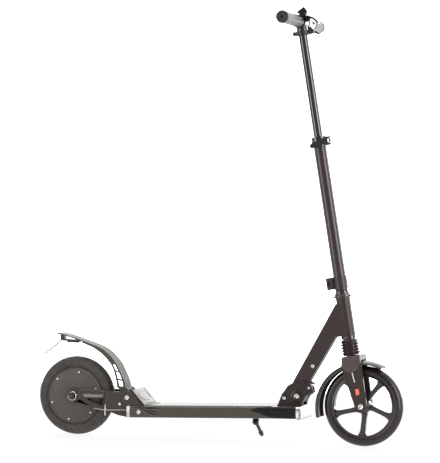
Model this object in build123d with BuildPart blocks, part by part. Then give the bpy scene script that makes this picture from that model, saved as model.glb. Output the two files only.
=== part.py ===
from build123d import *
from math import sin, cos, tan, radians, atan2, degrees, pi
import os

os.makedirs("parts", exist_ok=True)

# ---------------------------------------------------------------- driving dimensions (mm)
WHEELBASE = 751.0          # rear axle to front axle
WHEEL_R = 100.0            # both wheels, 200 mm over the tyre
XR = -WHEELBASE / 2        # x of the rear axle; side profiles below are measured from it
DECK_W = 124.0             # deck width
DECK_T = 30.0              # deck thickness
DECK_L = 440.0             # deck extrusion length
DECK_SLOPE = 1.8           # deck rises towards the front, degrees
DECK_X0 = 152.0            # rear end of the extrusion
DECK_Z0 = 67.0             # centre height of the extrusion at its rear end
STEM_TILT = 9.86           # steering axis leans back, degrees
STEM_X = 756.4             # steering axis meets the ground here
BAR_S = 1068.0             # handlebar axis, measured up the steering axis
BAR_HALF = 190.0           # half of the handlebar width
LOWER_R, LOWER_BORE = 16.0, 12.6      # lower stem tube
UPPER_R, UPPER_BORE = 11.5, 9.5       # telescopic upper stem tube
PIVOT = (585.0, 119.0)     # folding pivot
FENDER_PIVOT = (151.0, 102.0)
LATCH_PIVOT = (616.0, 141.0)
CRANK_U, CRANK_S = 11.8, 99.4         # front axle in steering-axis coordinates

cs, ss = cos(radians(STEM_TILT)), sin(radians(STEM_TILT))
cd, sd = cos(radians(DECK_SLOPE)), sin(radians(DECK_SLOPE))


def side(y=0.0):
    """Side-view plane at depth y: local x forward from the rear axle, local y up, normal -Y."""
    return Plane(origin=(XR, y, 0), x_dir=(1, 0, 0), z_dir=(0, -1, 0))


def deckside(y=0.0):
    """Side-view plane that follows the deck: local x along the deck, local y up from its mid-line."""
    return Plane(origin=(XR + DECK_X0, y, DECK_Z0), x_dir=(cd, 0, sd), z_dir=(0, -1, 0))


def decksec(d=0.0):
    """Cross-section plane of the deck, d mm forward of its rear end."""
    return Plane(origin=(XR + DECK_X0 + d * cd, 0, DECK_Z0 + d * sd), x_dir=(0, 1, 0), z_dir=(cd, 0, sd))


def stemside(y=0.0):
    """Side-view plane of the steering axis: local x forward of the axis, local y up along it."""
    return Plane(origin=(XR + STEM_X, y, 0), x_dir=(cs, 0, ss), z_dir=(0, -1, 0))


def sec(s, u=0.0):
    """Cross-section plane of the stem, s mm up the steering axis."""
    return Plane(origin=(XR + STEM_X - s * ss + u * cs, 0, s * cs + u * ss), x_dir=(cs, 0, ss), z_dir=(-ss, 0, cs))


def barsec(y):
    """Cross-section plane of the handlebar at depth y, normal +Y."""
    p = sec(BAR_S).origin
    return Plane(origin=(p.X, y, p.Z), x_dir=(cs, 0, ss), z_dir=(0, -1, 0))


def dtop(x):
    """Height of the deck's top face at x from the rear axle."""
    return DECK_Z0 + (x - DECK_X0) * sd / cd + DECK_T / 2 / cd


# ================================================================ deck (fixed frame)
with BuildPart() as deck_extrusion:
    with BuildSketch(decksec(0)):
        RectangleRounded(DECK_W, DECK_T, 8)
        RectangleRounded(DECK_W - 6, DECK_T - 6, 5.5, mode=Mode.SUBTRACT)
        with Locations((DECK_W / 2, 8.5), (-DECK_W / 2, 8.5)):
            Rectangle(1.6, 1.2, mode=Mode.SUBTRACT)
    extrude(amount=DECK_L)
    # charge port hole in the left side wall
    with BuildSketch(deckside(DECK_W / 2 + 1)):
        with Locations((330, -1)):
            Circle(7.0)
    extrude(amount=8, mode=Mode.SUBTRACT)

with BuildPart() as grip_tape:
    with BuildSketch(deckside()):
        with BuildLine():
            Polyline((58, 15), (378, 15), (376.5, 16.2), (59.5, 16.2), close=True)
        make_face()
    extrude(amount=55, both=True)

with BuildPart() as front_end_cap:
    with BuildSketch(decksec(DECK_L)):
        RectangleRounded(DECK_W, DECK_T, 8)
    extrude(amount=12)
    fillet(front_end_cap.faces().sort_by(Axis.X)[-1].edges(), 5)
    with BuildSketch(decksec(DECK_L)):
        RectangleRounded(DECK_W - 14, DECK_T - 14, 3, mode=Mode.ADD)
    extrude(amount=6, mode=Mode.SUBTRACT)

# folding bracket: two cheeks on a thin base plate
CHEEK = [(536, dtop(536)), (547, 123), (561, 145), (575, 153), (601, 158), (621, 151.5), (628, 133),
         (608, 120), (602, 108), (599, dtop(599))]
with BuildPart() as folding_bracket:
    for y1 in (26.5, -18.5):
        with BuildSketch(side(y1)):
            with BuildLine():
                FilletPolyline(*CHEEK[1:-1], radius=5)
                Polyline(CHEEK[1], CHEEK[0], CHEEK[-1], CHEEK[-2])
            make_face()
            with Locations(PIVOT):
                Circle(4.0, mode=Mode.SUBTRACT)
            with Locations((553, 113)):
                Circle(3.0, mode=Mode.SUBTRACT)
            with Locations(LATCH_PIVOT):
                Circle(2.5, mode=Mode.SUBTRACT)
        extrude(amount=8)
    with BuildSketch(side(34)):
        with BuildLine():
            Polyline((536, dtop(536)), (601, dtop(601)), (601, dtop(601) + 2.4), (537, dtop(537) + 2.4), close=True)
        make_face()
    extrude(amount=68)

with BuildPart() as bracket_bolts:
    # fold pivot bolt, right through both cheeks
    with BuildSketch(side(26.5)):
        with Locations(PIVOT):
            Circle(4.0)
    extrude(amount=53)
    for y1 in (30.0, -26.5):
        with BuildSketch(side(y1)):
            with Locations(PIVOT):
                RegularPolygon(7.0, 6)
        extrude(amount=3.5)
    # latch pin through both cheeks
    with BuildSketch(side(26.5)):
        with Locations(LATCH_PIVOT):
            Circle(2.5)
    extrude(amount=53)
    # stop screws, one in each cheek
    for y1, y2 in ((26.5, 29.5), (-18.5, -26.5)):
        with BuildSketch(side(y1)):
            with Locations((553, 113)):
                Circle(3.0)
        extrude(amount=8)
        with BuildSketch(side(y2)):
            with Locations((553, 113)):
                Circle(5.0)
        extrude(amount=3)

# ---------------------------------------------------------------- rear frame
BLOCK = [(92, 72), (92, 108), (97, 114), (131, 116), (158, 116), (166, 112), (166, dtop(166)),
         (151.5, dtop(151.5)), (152.4, 53), (128, 56.5), (111, 62)]
with BuildPart() as rear_bracket:
    for y1 in (52, -40):
        with BuildSketch(side(y1)):
            with BuildLine():
                Polyline(*BLOCK, close=True)
            make_face()
        extrude(amount=12)
    # cross member between the two blocks, closing the rear of the deck
    with BuildSketch(side(52)):
        with BuildLine():
            Polyline((124, 58), (152.4, 52.3), (151.5, 81.9), (140, 84), (124, 78), close=True)
        make_face()
    extrude(amount=104)
    with BuildSketch(side(60)):
        with Locations(FENDER_PIVOT):
            Circle(4.0)
    extrude(amount=120, mode=Mode.SUBTRACT)
    with BuildSketch(side(60)):
        with Locations((131, 85)):
            Circle(2.5)
    extrude(amount=20, mode=Mode.SUBTRACT)
    with BuildSketch(side(-40)):
        with Locations((131, 85)):
            Circle(2.5)
    extrude(amount=20, mode=Mode.SUBTRACT)

ARM = [(0, 116), (60, 118.5), (92, 116), (104, 116), (104, 64), (88, 66), (8, 86)]
with BuildPart() as rear_arms:
    for y1 in (40, -32):
        with BuildSketch(side(y1)):
            with Locations((0, 100)):
                Circle(16)
            with BuildLine():
                Polyline(*ARM, close=True)
            make_face()
            with BuildLine():
                FilletPolyline((30, 95.5), (86, 97.5), (84, 77), close=True, radius=2.5)
            make_face(mode=Mode.SUBTRACT)
            with Locations((0, 100)):
                Circle(6.0, mode=Mode.SUBTRACT)
        extrude(amount=8)
    # raised upper bar on the outer face of each arm
    for y1 in (43, -40):
        with BuildSketch(side(y1)):
            with BuildLine():
                Polyline((20, 116.2), (60, 117.5), (86, 115.5), (82, 99.5), (34, 98.5), close=True)
            make_face()
        extrude(amount=3)

with BuildPart() as heel_plate:
    with BuildSketch(side(50)):
        with BuildLine():
            Polyline((160, 120.5), (163.2, 122.4), (196, dtop(196) + 2.2), (208, dtop(208) + 2.2), (208, dtop(208)),
                     (193.5, dtop(193.5)), close=True)
        make_face()
    extrude(amount=100)
    for y1 in (56, -52):
        with BuildSketch(side(y1)):
            with BuildLine():
                Polyline((140, 117), (161.5, 119.5), (192.5, dtop(192.5)), (140, dtop(152) + 0.4), close=True)
            make_face()
            with Locations(FENDER_PIVOT):
                Circle(4.0, mode=Mode.SUBTRACT)
        extrude(amount=4)
    for y1 in (52, -50):
        with BuildSketch(side(y1)):
            with BuildLine():
                Polyline((160, 120.5), (163.2, 122.4), (196, dtop(196) + 2.2), (193.5, dtop(193.5)), close=True)
            make_face()
        extrude(amount=2)

with BuildPart() as fender_pivot_pin:
    with BuildSketch(side(56)):
        with Locations(FENDER_PIVOT):
            Circle(4.0)
    extrude(amount=112)
    for y1 in (59.5, -56):
        with BuildSketch(side(y1)):
            with Locations(FENDER_PIVOT):
                Circle(6.5)
        extrude(amount=3.5)

with BuildPart() as frame_screws:
    # side screws of the deck and the small screws of the rear blocks
    for y1, y2 in ((62, 65), (-58.9, -62)):
        with BuildSketch(side(y2)):
            with Locations((184, dtop(184) - 15.5)):
                Circle(6.0)
        extrude(amount=3)
    for y1, y2 in ((52, 54.5), (-40, -52)):
        with BuildSketch(side(y1)):
            with Locations((131, 85)):
                Circle(2.5)
        extrude(amount=12)
        with BuildSketch(side(y2)):
            with Locations((131, 85)):
                Circle(4.2)
        extrude(amount=2.5)

with BuildPart() as battery_pack:
    with BuildSketch(decksec(150)):
        with Locations((0, 1)):
            RectangleRounded(74, 20, 2)
    extrude(amount=270)

with BuildPart() as motor_controller:
    with BuildSketch(decksec(30)):
        with Locations((0, 0)):
            RectangleRounded(60, 19, 2)
    extrude(amount=95)

with BuildPart() as charge_port:
    with BuildSketch(deckside(DECK_W / 2 + 2)):
        with Locations((330, -1)):
            Circle(9.5)
    extrude(amount=2)
    with BuildSketch(deckside(DECK_W / 2)):
        with Locations((330, -1)):
            Circle(7.0)
    extrude(amount=18)
    with BuildSketch(deckside(DECK_W / 2 + 2)):
        with Locations((330, -1)):
            Circle(4.0)
    extrude(amount=12, mode=Mode.SUBTRACT)

# kickstand: mount under the deck, leg swung out to the left
KP = (463.0, 40.0, 48.0)            # pivot point (x from the rear axle, y, z)
KT = (465.5, 93.0, 9.5)             # centre of the leg's tip
with BuildPart() as kickstand_mount:
    with BuildSketch(deckside(58)):
        with BuildLine():
            Polyline((290, -15), (334, -15), (330, -18.5), (294, -18.5), close=True)
        make_face()
    extrude(amount=40)
    # clevis bolt along the folding axis
    kax = Vector(0, -(KT[2] - KP[2]), KT[1] - KP[1]).normalized()
    with BuildSketch(Plane(origin=(XR + KP[0], KP[1], KP[2]) , x_dir=(1, 0, 0), z_dir=(0, kax.Y, kax.Z)).offset(-5.5)):
        Circle(3.0)
    extrude(amount=20)
    with BuildSketch(Plane(origin=(XR + KP[0], KP[1], KP[2]), x_dir=(1, 0, 0), z_dir=(0, kax.Y, kax.Z)).offset(-9)):
        RegularPolygon(5.5, 6)
    extrude(amount=3.5)

with BuildPart() as kickstand_leg:
    kp = Vector(XR + KP[0], KP[1], KP[2])
    kt = Vector(XR + KT[0], KT[1], KT[2])
    kd = (kt - kp).normalized()
    with BuildSketch(Plane(origin=kp, x_dir=(1, 0, 0), z_dir=(0, kax.Y, kax.Z)).offset(-5)):
        Circle(8.5)
    extrude(amount=10)
    with BuildSketch(Plane(origin=kp + kd * 4, z_dir=kd)):
        Circle(4.5)
    extrude(amount=(kt - kp).length - 8)
    with BuildSketch(Plane(origin=kt - kd * 13, z_dir=kd)):
        Circle(6.0)
    extrude(amount=13, taper=4)
    with BuildSketch(Plane(origin=kp, x_dir=(1, 0, 0), z_dir=(0, kax.Y, kax.Z)).offset(-6)):
        Circle(3.05)
    extrude(amount=12, mode=Mode.SUBTRACT)

# ================================================================ rear wheel with hub motor
with BuildPart() as motor_axle:
    with BuildSketch(side(52)):
        with Locations((0, 100)):
            Circle(6.0)
    extrude(amount=104)

with BuildPart() as motor_stator:
    with BuildSketch(side(12)):
        with Locations((0, 100)):
            Circle(21)
            with PolarLocations(34, 12):
                Rectangle(28, 7.5)
            with PolarLocations(49.5, 12):
                Rectangle(4.5, 19)
            Circle(6.0, mode=Mode.SUBTRACT)
    extrude(amount=24)

with BuildPart() as motor_shell:
    with BuildSketch(side(20)):
        with Locations((0, 100)):
            Circle(72)
            Circle(58.5, mode=Mode.SUBTRACT)
    extrude(amount=40)

with BuildPart() as cover_screws:
    for y1 in (32.0, -28.0):
        with BuildSketch(side(y1)):
            with Locations((0, 100)):
                with PolarLocations(61, 6, start_angle=18):
                    Circle(3.6)
        extrude(amount=4.0)

with BuildPart() as motor_covers:
    # domed side covers, turned about the axle
    with BuildSketch(Plane(origin=(XR, 0, 100), x_dir=(0, 0, 1), z_dir=(1, 0, 0))):
        # local x is up from the axle, local y is -Y
        with BuildLine():
            Polyline((12.0, 16.0), (12.0, 28.0), (24, 29.5), (55, 29.5), (66, 27.0), (70.5, 23.5), (72, 20.0), (58.0, 20.0), (56, 16.0), close=True)
        make_face()
        with BuildLine():
            Polyline((12.0, -16.0), (12.0, -28.0), (24, -29.5), (55, -29.5), (66, -27.0), (70.5, -23.5), (72, -20.0), (58.0, -20.0), (56, -16.0), close=True)
        make_face()
    revolve(axis=Axis((XR, 0, 100), (0, 1, 0)))
    add(cover_screws.part, mode=Mode.SUBTRACT)

with BuildPart() as hub_bearings:
    for y1 in (27, -17):
        with BuildSketch(side(y1)):
            with Locations((0, 100)):
                Circle(12.0)
                Circle(6.05, mode=Mode.SUBTRACT)
        extrude(amount=10)

with BuildPart() as rear_tyre:
    with BuildSketch(Plane(origin=(XR, 0, 100), x_dir=(0, 0, 1), z_dir=(1, 0, 0))):
        with BuildLine():
            l1 = Polyline((72.0, -20.0), (72.3, -20.0), (76, -21.5), (84, -22.5), (91, -20.5))
            ThreePointArc((91, -20.5), (100, 0), (91, 20.5))
            Polyline((91, 20.5), (84, 22.5), (76, 21.5), (72.3, 20.0), (72.0, 20.0), (72.0, -20.0))
        make_face()
    revolve(axis=Axis((XR, 0, 100), (0, 1, 0)))

with BuildPart() as axle_nuts:
    for y1, y2 in ((43.0, 50.0), (-40.0, -43.0)):
        with BuildSketch(side(42.0 if y1 > 0 else -40.0)):
            with Locations((0, 100)):
                Circle(12.0)
                Circle(6.0, mode=Mode.SUBTRACT)
        extrude(amount=2.0)
        with BuildSketch(side(50.0 if y1 > 0 else -42.0)):
            with Locations((0, 100)):
                RegularPolygon(10.4, 6)
                Circle(6.0, mode=Mode.SUBTRACT)
        extrude(amount=8.0)

# ================================================================ rear fender = foot brake
FO = [(137.2, 123), (131.9, 145), (124.8, 160), (114.8, 180), (98.2, 200.7), (77.8, 218.4), (50, 231), (19, 241), (-17, 252), (-48, 258.5)]
FI = [(134.0, 124), (128.9, 144), (122.0, 158.5), (112.2, 178.2), (96.2, 198.3), (76.4, 215.7), (49.2, 228), (18.2, 238), (-17.8, 249), (-48.6, 255.5)]
SK = [(114.8, 125), (110.8, 145), (105.6, 165), (96.8, 183), (84.6, 197), (71.4, 209.5), (47.2, 224.5), (17.5, 235.5)]
MID = [((o[0] + i[0]) / 2, (o[1] + i[1]) / 2) for o, i in zip(FO[:8], FI[:8])]
with BuildPart() as rear_fender:
    with BuildSketch(side(25)):
        with BuildLine():
            Spline(*FO)
            Line(FO[-1], FI[-1])
            Spline(*FI[::-1])
            Line(FI[0], FO[0])
        make_face()
    extrude(amount=50)
    for y1 in (24.8, -22.3):
        with BuildSketch(side(y1)):
            with BuildLine():
                Polyline(*MID, *SK[::-1], close=True)
            make_face()
            # windows in the side skirt
            with BuildLine():
                Polyline((120.5, 128), (131.5, 127), (127.8, 141), (116.8, 143), close=True)
            make_face(mode=Mode.SUBTRACT)
            with BuildLine():
                Polyline((115.6, 147.5), (126.2, 146), (119.2, 161.5), (111.0, 164.5), close=True)
            make_face(mode=Mode.SUBTRACT)
            with BuildLine():
                Polyline((109.0, 169), (117, 165.5), (107.6, 182), (102.0, 182), close=True)
            make_face(mode=Mode.SUBTRACT)
        extrude(amount=2.5)
    # base web and ears round the pivot pin
    for y1 in (29.0, -24):
        with BuildSketch(side(y1)):
            with Locations(FENDER_PIVOT):
                Circle(9.0)
            with BuildLine():
                Polyline((117.5, 127), (139, 126), (159, 106), (146, 94.5), (128, 112), close=True)
            make_face()
            with Locations(FENDER_PIVOT):
                Circle(4.06, mode=Mode.SUBTRACT)
        extrude(amount=5)
    with BuildSketch(side(24.5)):
        with BuildLine():
            Polyline((133.5, 126.5), (138.8, 125.5), (142.5, 119), (136, 118), close=True)
        make_face()
    extrude(amount=49)

with BuildPart() as brake_pad:
    # carrier strut, post and shoe under the fender
    with BuildSketch(side(9)):
        with BuildLine():
            Polyline((-46, 256.2), (-34.5, 253.7), (-34.5, 243), (8, 240.6), (5, 236.8), (-30, 237.5), (-46, 238), close=True)
        make_face()
    extrude(amount=18)
    with BuildSketch(side(11)):
        with BuildLine():
            Polyline((-27, 239), (4, 238.5), (4, 233.4), (-27, 234.2), close=True)
        make_face()
    extrude(amount=22)
    add(rear_fender.part, mode=Mode.SUBTRACT)

with BuildPart() as mudflap:
    with BuildSketch(side(4)):
        with BuildLine():
            Polyline((-46, 238.0), (-46, 240.2), (-66, 223.4), (-88, 205.2), (-87, 203.4), (-65, 220.8), close=True)
        make_face()
    extrude(amount=8)

# ================================================================ neck (folding front frame)
with BuildPart() as neck_tube:
    ang = radians(167.3)
    with BuildSketch(side()):
        with BuildLine():
            Polyline((PIVOT[0] + 20 * cos(ang), PIVOT[1] + 20 * sin(ang)), (573, 156.6), (677.5, 351), (693, 351),
                     (707, 273), (690, 270.2), (679.5, 270.2), (608, 146), (604.7, 122.4))
            ThreePointArc((604.7, 122.4), (PIVOT[0], PIVOT[1] - 20), (PIVOT[0] + 20 * cos(ang), PIVOT[1] + 20 * sin(ang)))
        make_face()
    extrude(amount=18, both=True)
    fillet(neck_tube.edges().filter_by(lambda e: abs(e.tangent_at(0.5).Z) > 0.8 and e.length > 130), 4)
    # hollow, open where it meets the head tube
    with BuildSketch(side()):
        with BuildLine():
            Polyline((581, 163), (680, 346), (705, 346), (705, 275), (677, 275), (612, 163), close=True)
        make_face()
    extrude(amount=15, both=True, mode=Mode.SUBTRACT)
    with BuildSketch(sec(240)):
        Circle(18.0)
    extrude(amount=160, mode=Mode.SUBTRACT)
    with BuildSketch(side(30)):
        with Locations(PIVOT):
            Circle(4.06)
        with Locations((623, 195)):
            Circle(3.0)
    extrude(amount=60, mode=Mode.SUBTRACT)

with BuildPart() as neck_screws:
    with BuildSketch(side(18)):
        with Locations((623, 195)):
            Circle(3.0)
    extrude(amount=36)
    for y1 in (21, -18):
        with BuildSketch(side(y1)):
            with Locations((623, 195)):
                Circle(5.2)
        extrude(amount=3)

with BuildPart() as head_tube:
    with BuildSketch(sec(276)):
        Circle(18)
        Circle(15.5, mode=Mode.SUBTRACT)
    extrude(amount=97)

with BuildPart() as headset_cups:
    with BuildSketch(stemside()):
        with BuildLine():
            Polyline((14.56, 363), (15.5, 363), (15.5, 373), (22, 373), (23, 374.5), (23, 378), (20, 380), (20, 384), (14.56, 384), close=True)
        make_face()
        with BuildLine():
            Polyline((14.56, 286), (15.5, 286), (15.5, 276), (18.5, 276), (18.5, 269), (14.56, 269), close=True)
        make_face()
    revolve(axis=Axis(sec(0).origin, sec(0).z_dir))

# ---------------------------------------------------------------- folding latch lever
with BuildPart() as latch_lever:
    with BuildSketch(side(14)):
        with Locations(LATCH_PIVOT):
            Circle(5.5)
        with BuildLine():
            Polyline((613, 145.5), (616.5, 149), (620.6, 149.7), (624.8, 146), (628.0, 140.2), (628.8, 132), (625.2, 132),
                     (624.6, 138.4), (622.3, 142.2), (620.4, 143), (619, 142), (618, 140), close=True)
        make_face()
        with Locations(LATCH_PIVOT):
            Circle(2.56, mode=Mode.SUBTRACT)
    extrude(amount=28)

# ================================================================ steering column
with BuildPart() as lower_stem:
    with BuildSketch(stemside()):
        with BuildLine():
            Polyline((LOWER_BORE, 258), (14.5, 258), (14.5, 390), (LOWER_R, 392), (LOWER_R, 772), (LOWER_BORE, 772), close=True)
        make_face()
    revolve(axis=Axis(sec(0).origin, sec(0).z_dir))

with BuildPart() as headset_nut:
    with BuildSketch(sec(384.3)):
        Circle(17.0)
        Circle(14.5, mode=Mode.SUBTRACT)
    extrude(amount=5.5)

with BuildPart() as grip_holder:
    with BuildSketch(sec(396)):
        Circle(17.6)
        with Locations((-25, 0)):
            RectangleRounded(18, 24, 2.5)
        with Locations((-17, 0)):
            Rectangle(10, 16)
        Circle(LOWER_R, mode=Mode.SUBTRACT)
    extrude(amount=30)
    with BuildSketch(stemside(14)):
        with Locations((-27, 411)):
            Circle(4.5)
    extrude(amount=8, mode=Mode.SUBTRACT)
    with BuildSketch(stemside(-6)):
        with Locations((-27, 411)):
            Circle(4.5)
    extrude(amount=8, mode=Mode.SUBTRACT)

SK_U, SK_S = 24.0, 764.0
with BuildPart() as height_clamp:
    with BuildSketch(sec(753)):
        Circle(19.5)
        with Locations((22, 0)):
            RectangleRounded(18, 18, 2)
        Circle(LOWER_R, mode=Mode.SUBTRACT)
        with Locations((26, 0)):
            Rectangle(22, 2.4, mode=Mode.SUBTRACT)
    extrude(amount=22)
    # guide lip that closes on the upper tube
    with BuildSketch(sec(772)):
        Circle(19.5)
        Circle(UPPER_R + 0.06, mode=Mode.SUBTRACT)
        with Locations((24, 0)):
            Rectangle(30, 2.4, mode=Mode.SUBTRACT)
    extrude(amount=5)
    with BuildSketch(stemside(15)):
        with Locations((SK_U + 1, SK_S)):
            Circle(2.5)
    extrude(amount=30, mode=Mode.SUBTRACT)

with BuildPart() as clamp_bolt:
    with BuildSketch(stemside(16)):
        with Locations((SK_U + 1, SK_S)):
            Circle(2.5)
    extrude(amount=31)
    with BuildSketch(stemside(16)):
        with Locations((SK_U + 1, SK_S)):
            RegularPolygon(5.2, 6)
    extrude(amount=7)
    with BuildSketch(sec(SK_S - 4)):
        with Locations((SK_U + 1, -17)):
            Circle(4.0)
    extrude(amount=8)
    with BuildSketch(sec(SK_S - 5)):
        with Locations((SK_U + 1, -17)):
            Circle(2.06)
    extrude(amount=10, mode=Mode.SUBTRACT)

with BuildPart() as clamp_lever:
    with BuildSketch(stemside(-11.8)):
        with Locations((SK_U + 1, SK_S)):
            Circle(8.5)
    extrude(amount=14.2)
    with BuildSketch(stemside(-20.3)):
        with BuildLine():
            Polyline((22, 771.5), (-10, 764.5), (-17, 761.5), (-20, 756), (-17.5, 751), (-12, 750), (20, 757), close=True)
        make_face()
    extrude(amount=5.7)
    # the cam side is rounded about the hinge pin so that it turns past the ears
    with BuildSketch(sec(SK_S - 10)):
        with Locations((SK_U + 11, -18)):
            Rectangle(20, 26)
        with Locations((SK_U + 1, -17)):
            Circle(7.5, mode=Mode.SUBTRACT)
    extrude(amount=20, mode=Mode.SUBTRACT)
    with BuildSketch(sec(SK_S - 4.5)):
        with Locations((SK_U + 9.5, -17.0)):
            Rectangle(26, 14)
    extrude(amount=9, mode=Mode.SUBTRACT)
    with BuildSketch(sec(SK_S - 7)):
        with Locations((SK_U + 1, -17)):
            Circle(2.0)
    extrude(amount=14)

# ================================================================ fork with suspension
with BuildPart() as fork:
    for y1 in (37, -28):
        with BuildSketch(stemside(y1)):
            with BuildLine():
                Polyline((-17, 227), (-22, 203), (-15, 163), (-4.5, 113), (-3.2, 99.4))
                ThreePointArc((-3.2, 99.4), (11.8, 84.4), (26.8, 99.4))
                Polyline((26.8, 99.4), (27.5, 116), (28.5, 190), (28.5, 227), (-17, 227))
            make_face()
            with Locations((CRANK_U, CRANK_S)):
                Circle(5.0, mode=Mode.SUBTRACT)
            # long slot in each leg
            with BuildLine():
                Polyline((1.2, 193.5), (4.4, 194), (8.0, 161.5), (4.8, 161), close=True)
            make_face(mode=Mode.SUBTRACT)
        extrude(amount=9)
    with BuildSketch(stemside(37)):
        with BuildLine():
            Polyline((-17, 227), (-19.5, 213.5), (28.5, 213.5), (28.5, 227), close=True)
        make_face()
    extrude(amount=74)
    # steerer that slides in the lower stem
    with BuildSketch(sec(227)):
        Circle(12.55)
        Circle(9.5, mode=Mode.SUBTRACT)
    extrude(amount=100)

FEND_BACK, FEND_DOWN, FEND_R = 5.25, 5.25, 114.0
FEND_SPLIT = 740.0
with BuildPart() as front_fender:
    # rear arc, flat across with folded edges, on a centre below and behind the axle; it stops under the crown
    fc = (XR + WHEELBASE - FEND_BACK, 0, 100 - FEND_DOWN)
    with BuildSketch(Plane(origin=fc, x_dir=(0, 0, 1), z_dir=(1, 0, 0))):
        with BuildLine():
            Polyline((FEND_R - 10, -25.5), (FEND_R - 3, -25.3), (FEND_R - 0.8, -23.7), (FEND_R, -20.5), (FEND_R, 20.5),
                     (FEND_R - 0.8, 23.7), (FEND_R - 3, 25.3), (FEND_R - 10, 25.5), (FEND_R - 10, 22.9), (FEND_R - 3.8, 22.7),
                     (FEND_R - 2.8, 19.5), (FEND_R - 2.8, -19.5), (FEND_R - 3.8, -22.7), (FEND_R - 10, -22.9), close=True)
        make_face()
    revolve(axis=Axis(fc, (0, 1, 0)), revolution_arc=-104)
    with Locations((XR + FEND_SPLIT + 20, 0, 210)):
        Box(40, 80, 60, mode=Mode.SUBTRACT)
    # visor round the axle, from under the crown forwards
    for arc in (-9, 26.5):
        with BuildSketch(Plane(origin=(XR + WHEELBASE, 0, 100), x_dir=(0, 0, 1), z_dir=(1, 0, 0))):
            with BuildLine():
                ThreePointArc((104.5, -25.5), (113, 0), (104.5, 25.5))
                Line((104.5, 25.5), (103, 23.2))
                ThreePointArc((103, 23.2), (110.2, 0), (103, -23.2))
                Line((103, -23.2), (104.5, -25.5))
            make_face()
        revolve(axis=Axis((XR + WHEELBASE, 0, 100), (0, 1, 0)), revolution_arc=arc)

with BuildPart() as fork_reflectors:
    for y1 in (38.5, -37):
        with BuildSketch(stemside(y1)):
            with Locations((9.5, 137)):
                RectangleRounded(9, 15, 2)
        extrude(amount=1.5)

with BuildPart() as front_axle:
    with BuildSketch(stemside(37)):
        with Locations((CRANK_U, CRANK_S)):
            Circle(5.0)
    extrude(amount=74)
    for y1 in (42, -37):
        with BuildSketch(stemside(y1)):
            with Locations((CRANK_U, CRANK_S)):
                RegularPolygon(7.5, 6)
        extrude(amount=5)
    # spacers between the legs and the hub bearings
    for y1 in (28, -17):
        with BuildSketch(stemside(y1)):
            with Locations((CRANK_U, CRANK_S)):
                Circle(8.0)
                Circle(5.0, mode=Mode.SUBTRACT)
        extrude(amount=11)

with BuildPart() as suspension_spring:
    with BuildSketch(sec(229)):
        Circle(15.5)
        Circle(13.2, mode=Mode.SUBTRACT)
    extrude(amount=28)

BOOT = [(17.2, 228.2), (19, 228.2)]
for i in range(5):
    s0 = 229.0 + i * 7.6
    BOOT += [(19, s0 + 0.6), (24.5, s0 + 3.4), (24.5, s0 + 4.2), (19, s0 + 7.0)]
BOOT += [(19, 267.8), (17.2, 267.8)]
with BuildPart() as suspension_boot:
    with BuildSketch(stemside()):
        with BuildLine():
            Polyline(*BOOT, close=True)
        make_face()
    revolve(axis=Axis(sec(0).origin, sec(0).z_dir))

# ---------------------------------------------------------------- front wheel
with BuildPart() as front_rim:
    with BuildSketch(side(13)):
        with Locations((WHEELBASE, 100)):
            Circle(78)
            Circle(73.5, mode=Mode.SUBTRACT)
    extrude(amount=26)
    with BuildSketch(side(16.5)):
        with Locations((WHEELBASE, 100)):
            Circle(19)
            Circle(11.0, mode=Mode.SUBTRACT)
    extrude(amount=33)
    with BuildSketch(side(8)):
        with Locations((WHEELBASE, 100)):
            with PolarLocations(45.5, 5, start_angle=55):
                Trapezoid(59, 19, 86.2, rotation=0)
            Circle(18.0, mode=Mode.SUBTRACT)
    extrude(amount=16)

with BuildPart() as front_tyre:
    with BuildSketch(Plane(origin=(XR + WHEELBASE, 0, 100), x_dir=(0, 0, 1), z_dir=(1, 0, 0))):
        with BuildLine():
            Polyline((78, 13), (78, -13), (84, -15), (90.5, -14.5))
            ThreePointArc((90.5, -14.5), (100, 0), (90.5, 14.5))
            Polyline((90.5, 14.5), (84, 15), (78, 13))
        make_face()
    revolve(axis=Axis((XR + WHEELBASE, 0, 100), (0, 1, 0)))

with BuildPart() as front_bearings:
    for y1 in (16.5, -9.5):
        with BuildSketch(side(y1)):
            with Locations((WHEELBASE, 100)):
                Circle(11.0)
                Circle(5.05, mode=Mode.SUBTRACT)
        extrude(amount=7)

# ================================================================ upper stem and handlebar
with BuildPart() as upper_stem:
    with BuildSketch(sec(652)):
        Circle(UPPER_R)
        Circle(UPPER_BORE, mode=Mode.SUBTRACT)
    extrude(amount=402)

T_HALF = 30.0
with BuildPart() as t_joint:
    with BuildSketch(sec(1036)):
        Circle(14.2)
    extrude(amount=BAR_S - 1036)
    with BuildSketch(barsec(T_HALF)):
        Circle(14.2)
    extrude(amount=2 * T_HALF)
    with BuildSketch(barsec(T_HALF)):
        Circle(11.2)
    extrude(amount=2 * T_HALF, mode=Mode.SUBTRACT)
    with BuildSketch(sec(1036)):
        Circle(UPPER_R)
    extrude(amount=18, mode=Mode.SUBTRACT)
    # open notches under each arm for the snap buttons
    with BuildSketch(sec(1050)):
        with Locations((0, T_HALF - 4), (0, -T_HALF + 4)):
            Rectangle(7.4, 9)
    extrude(amount=12, mode=Mode.SUBTRACT)

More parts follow.
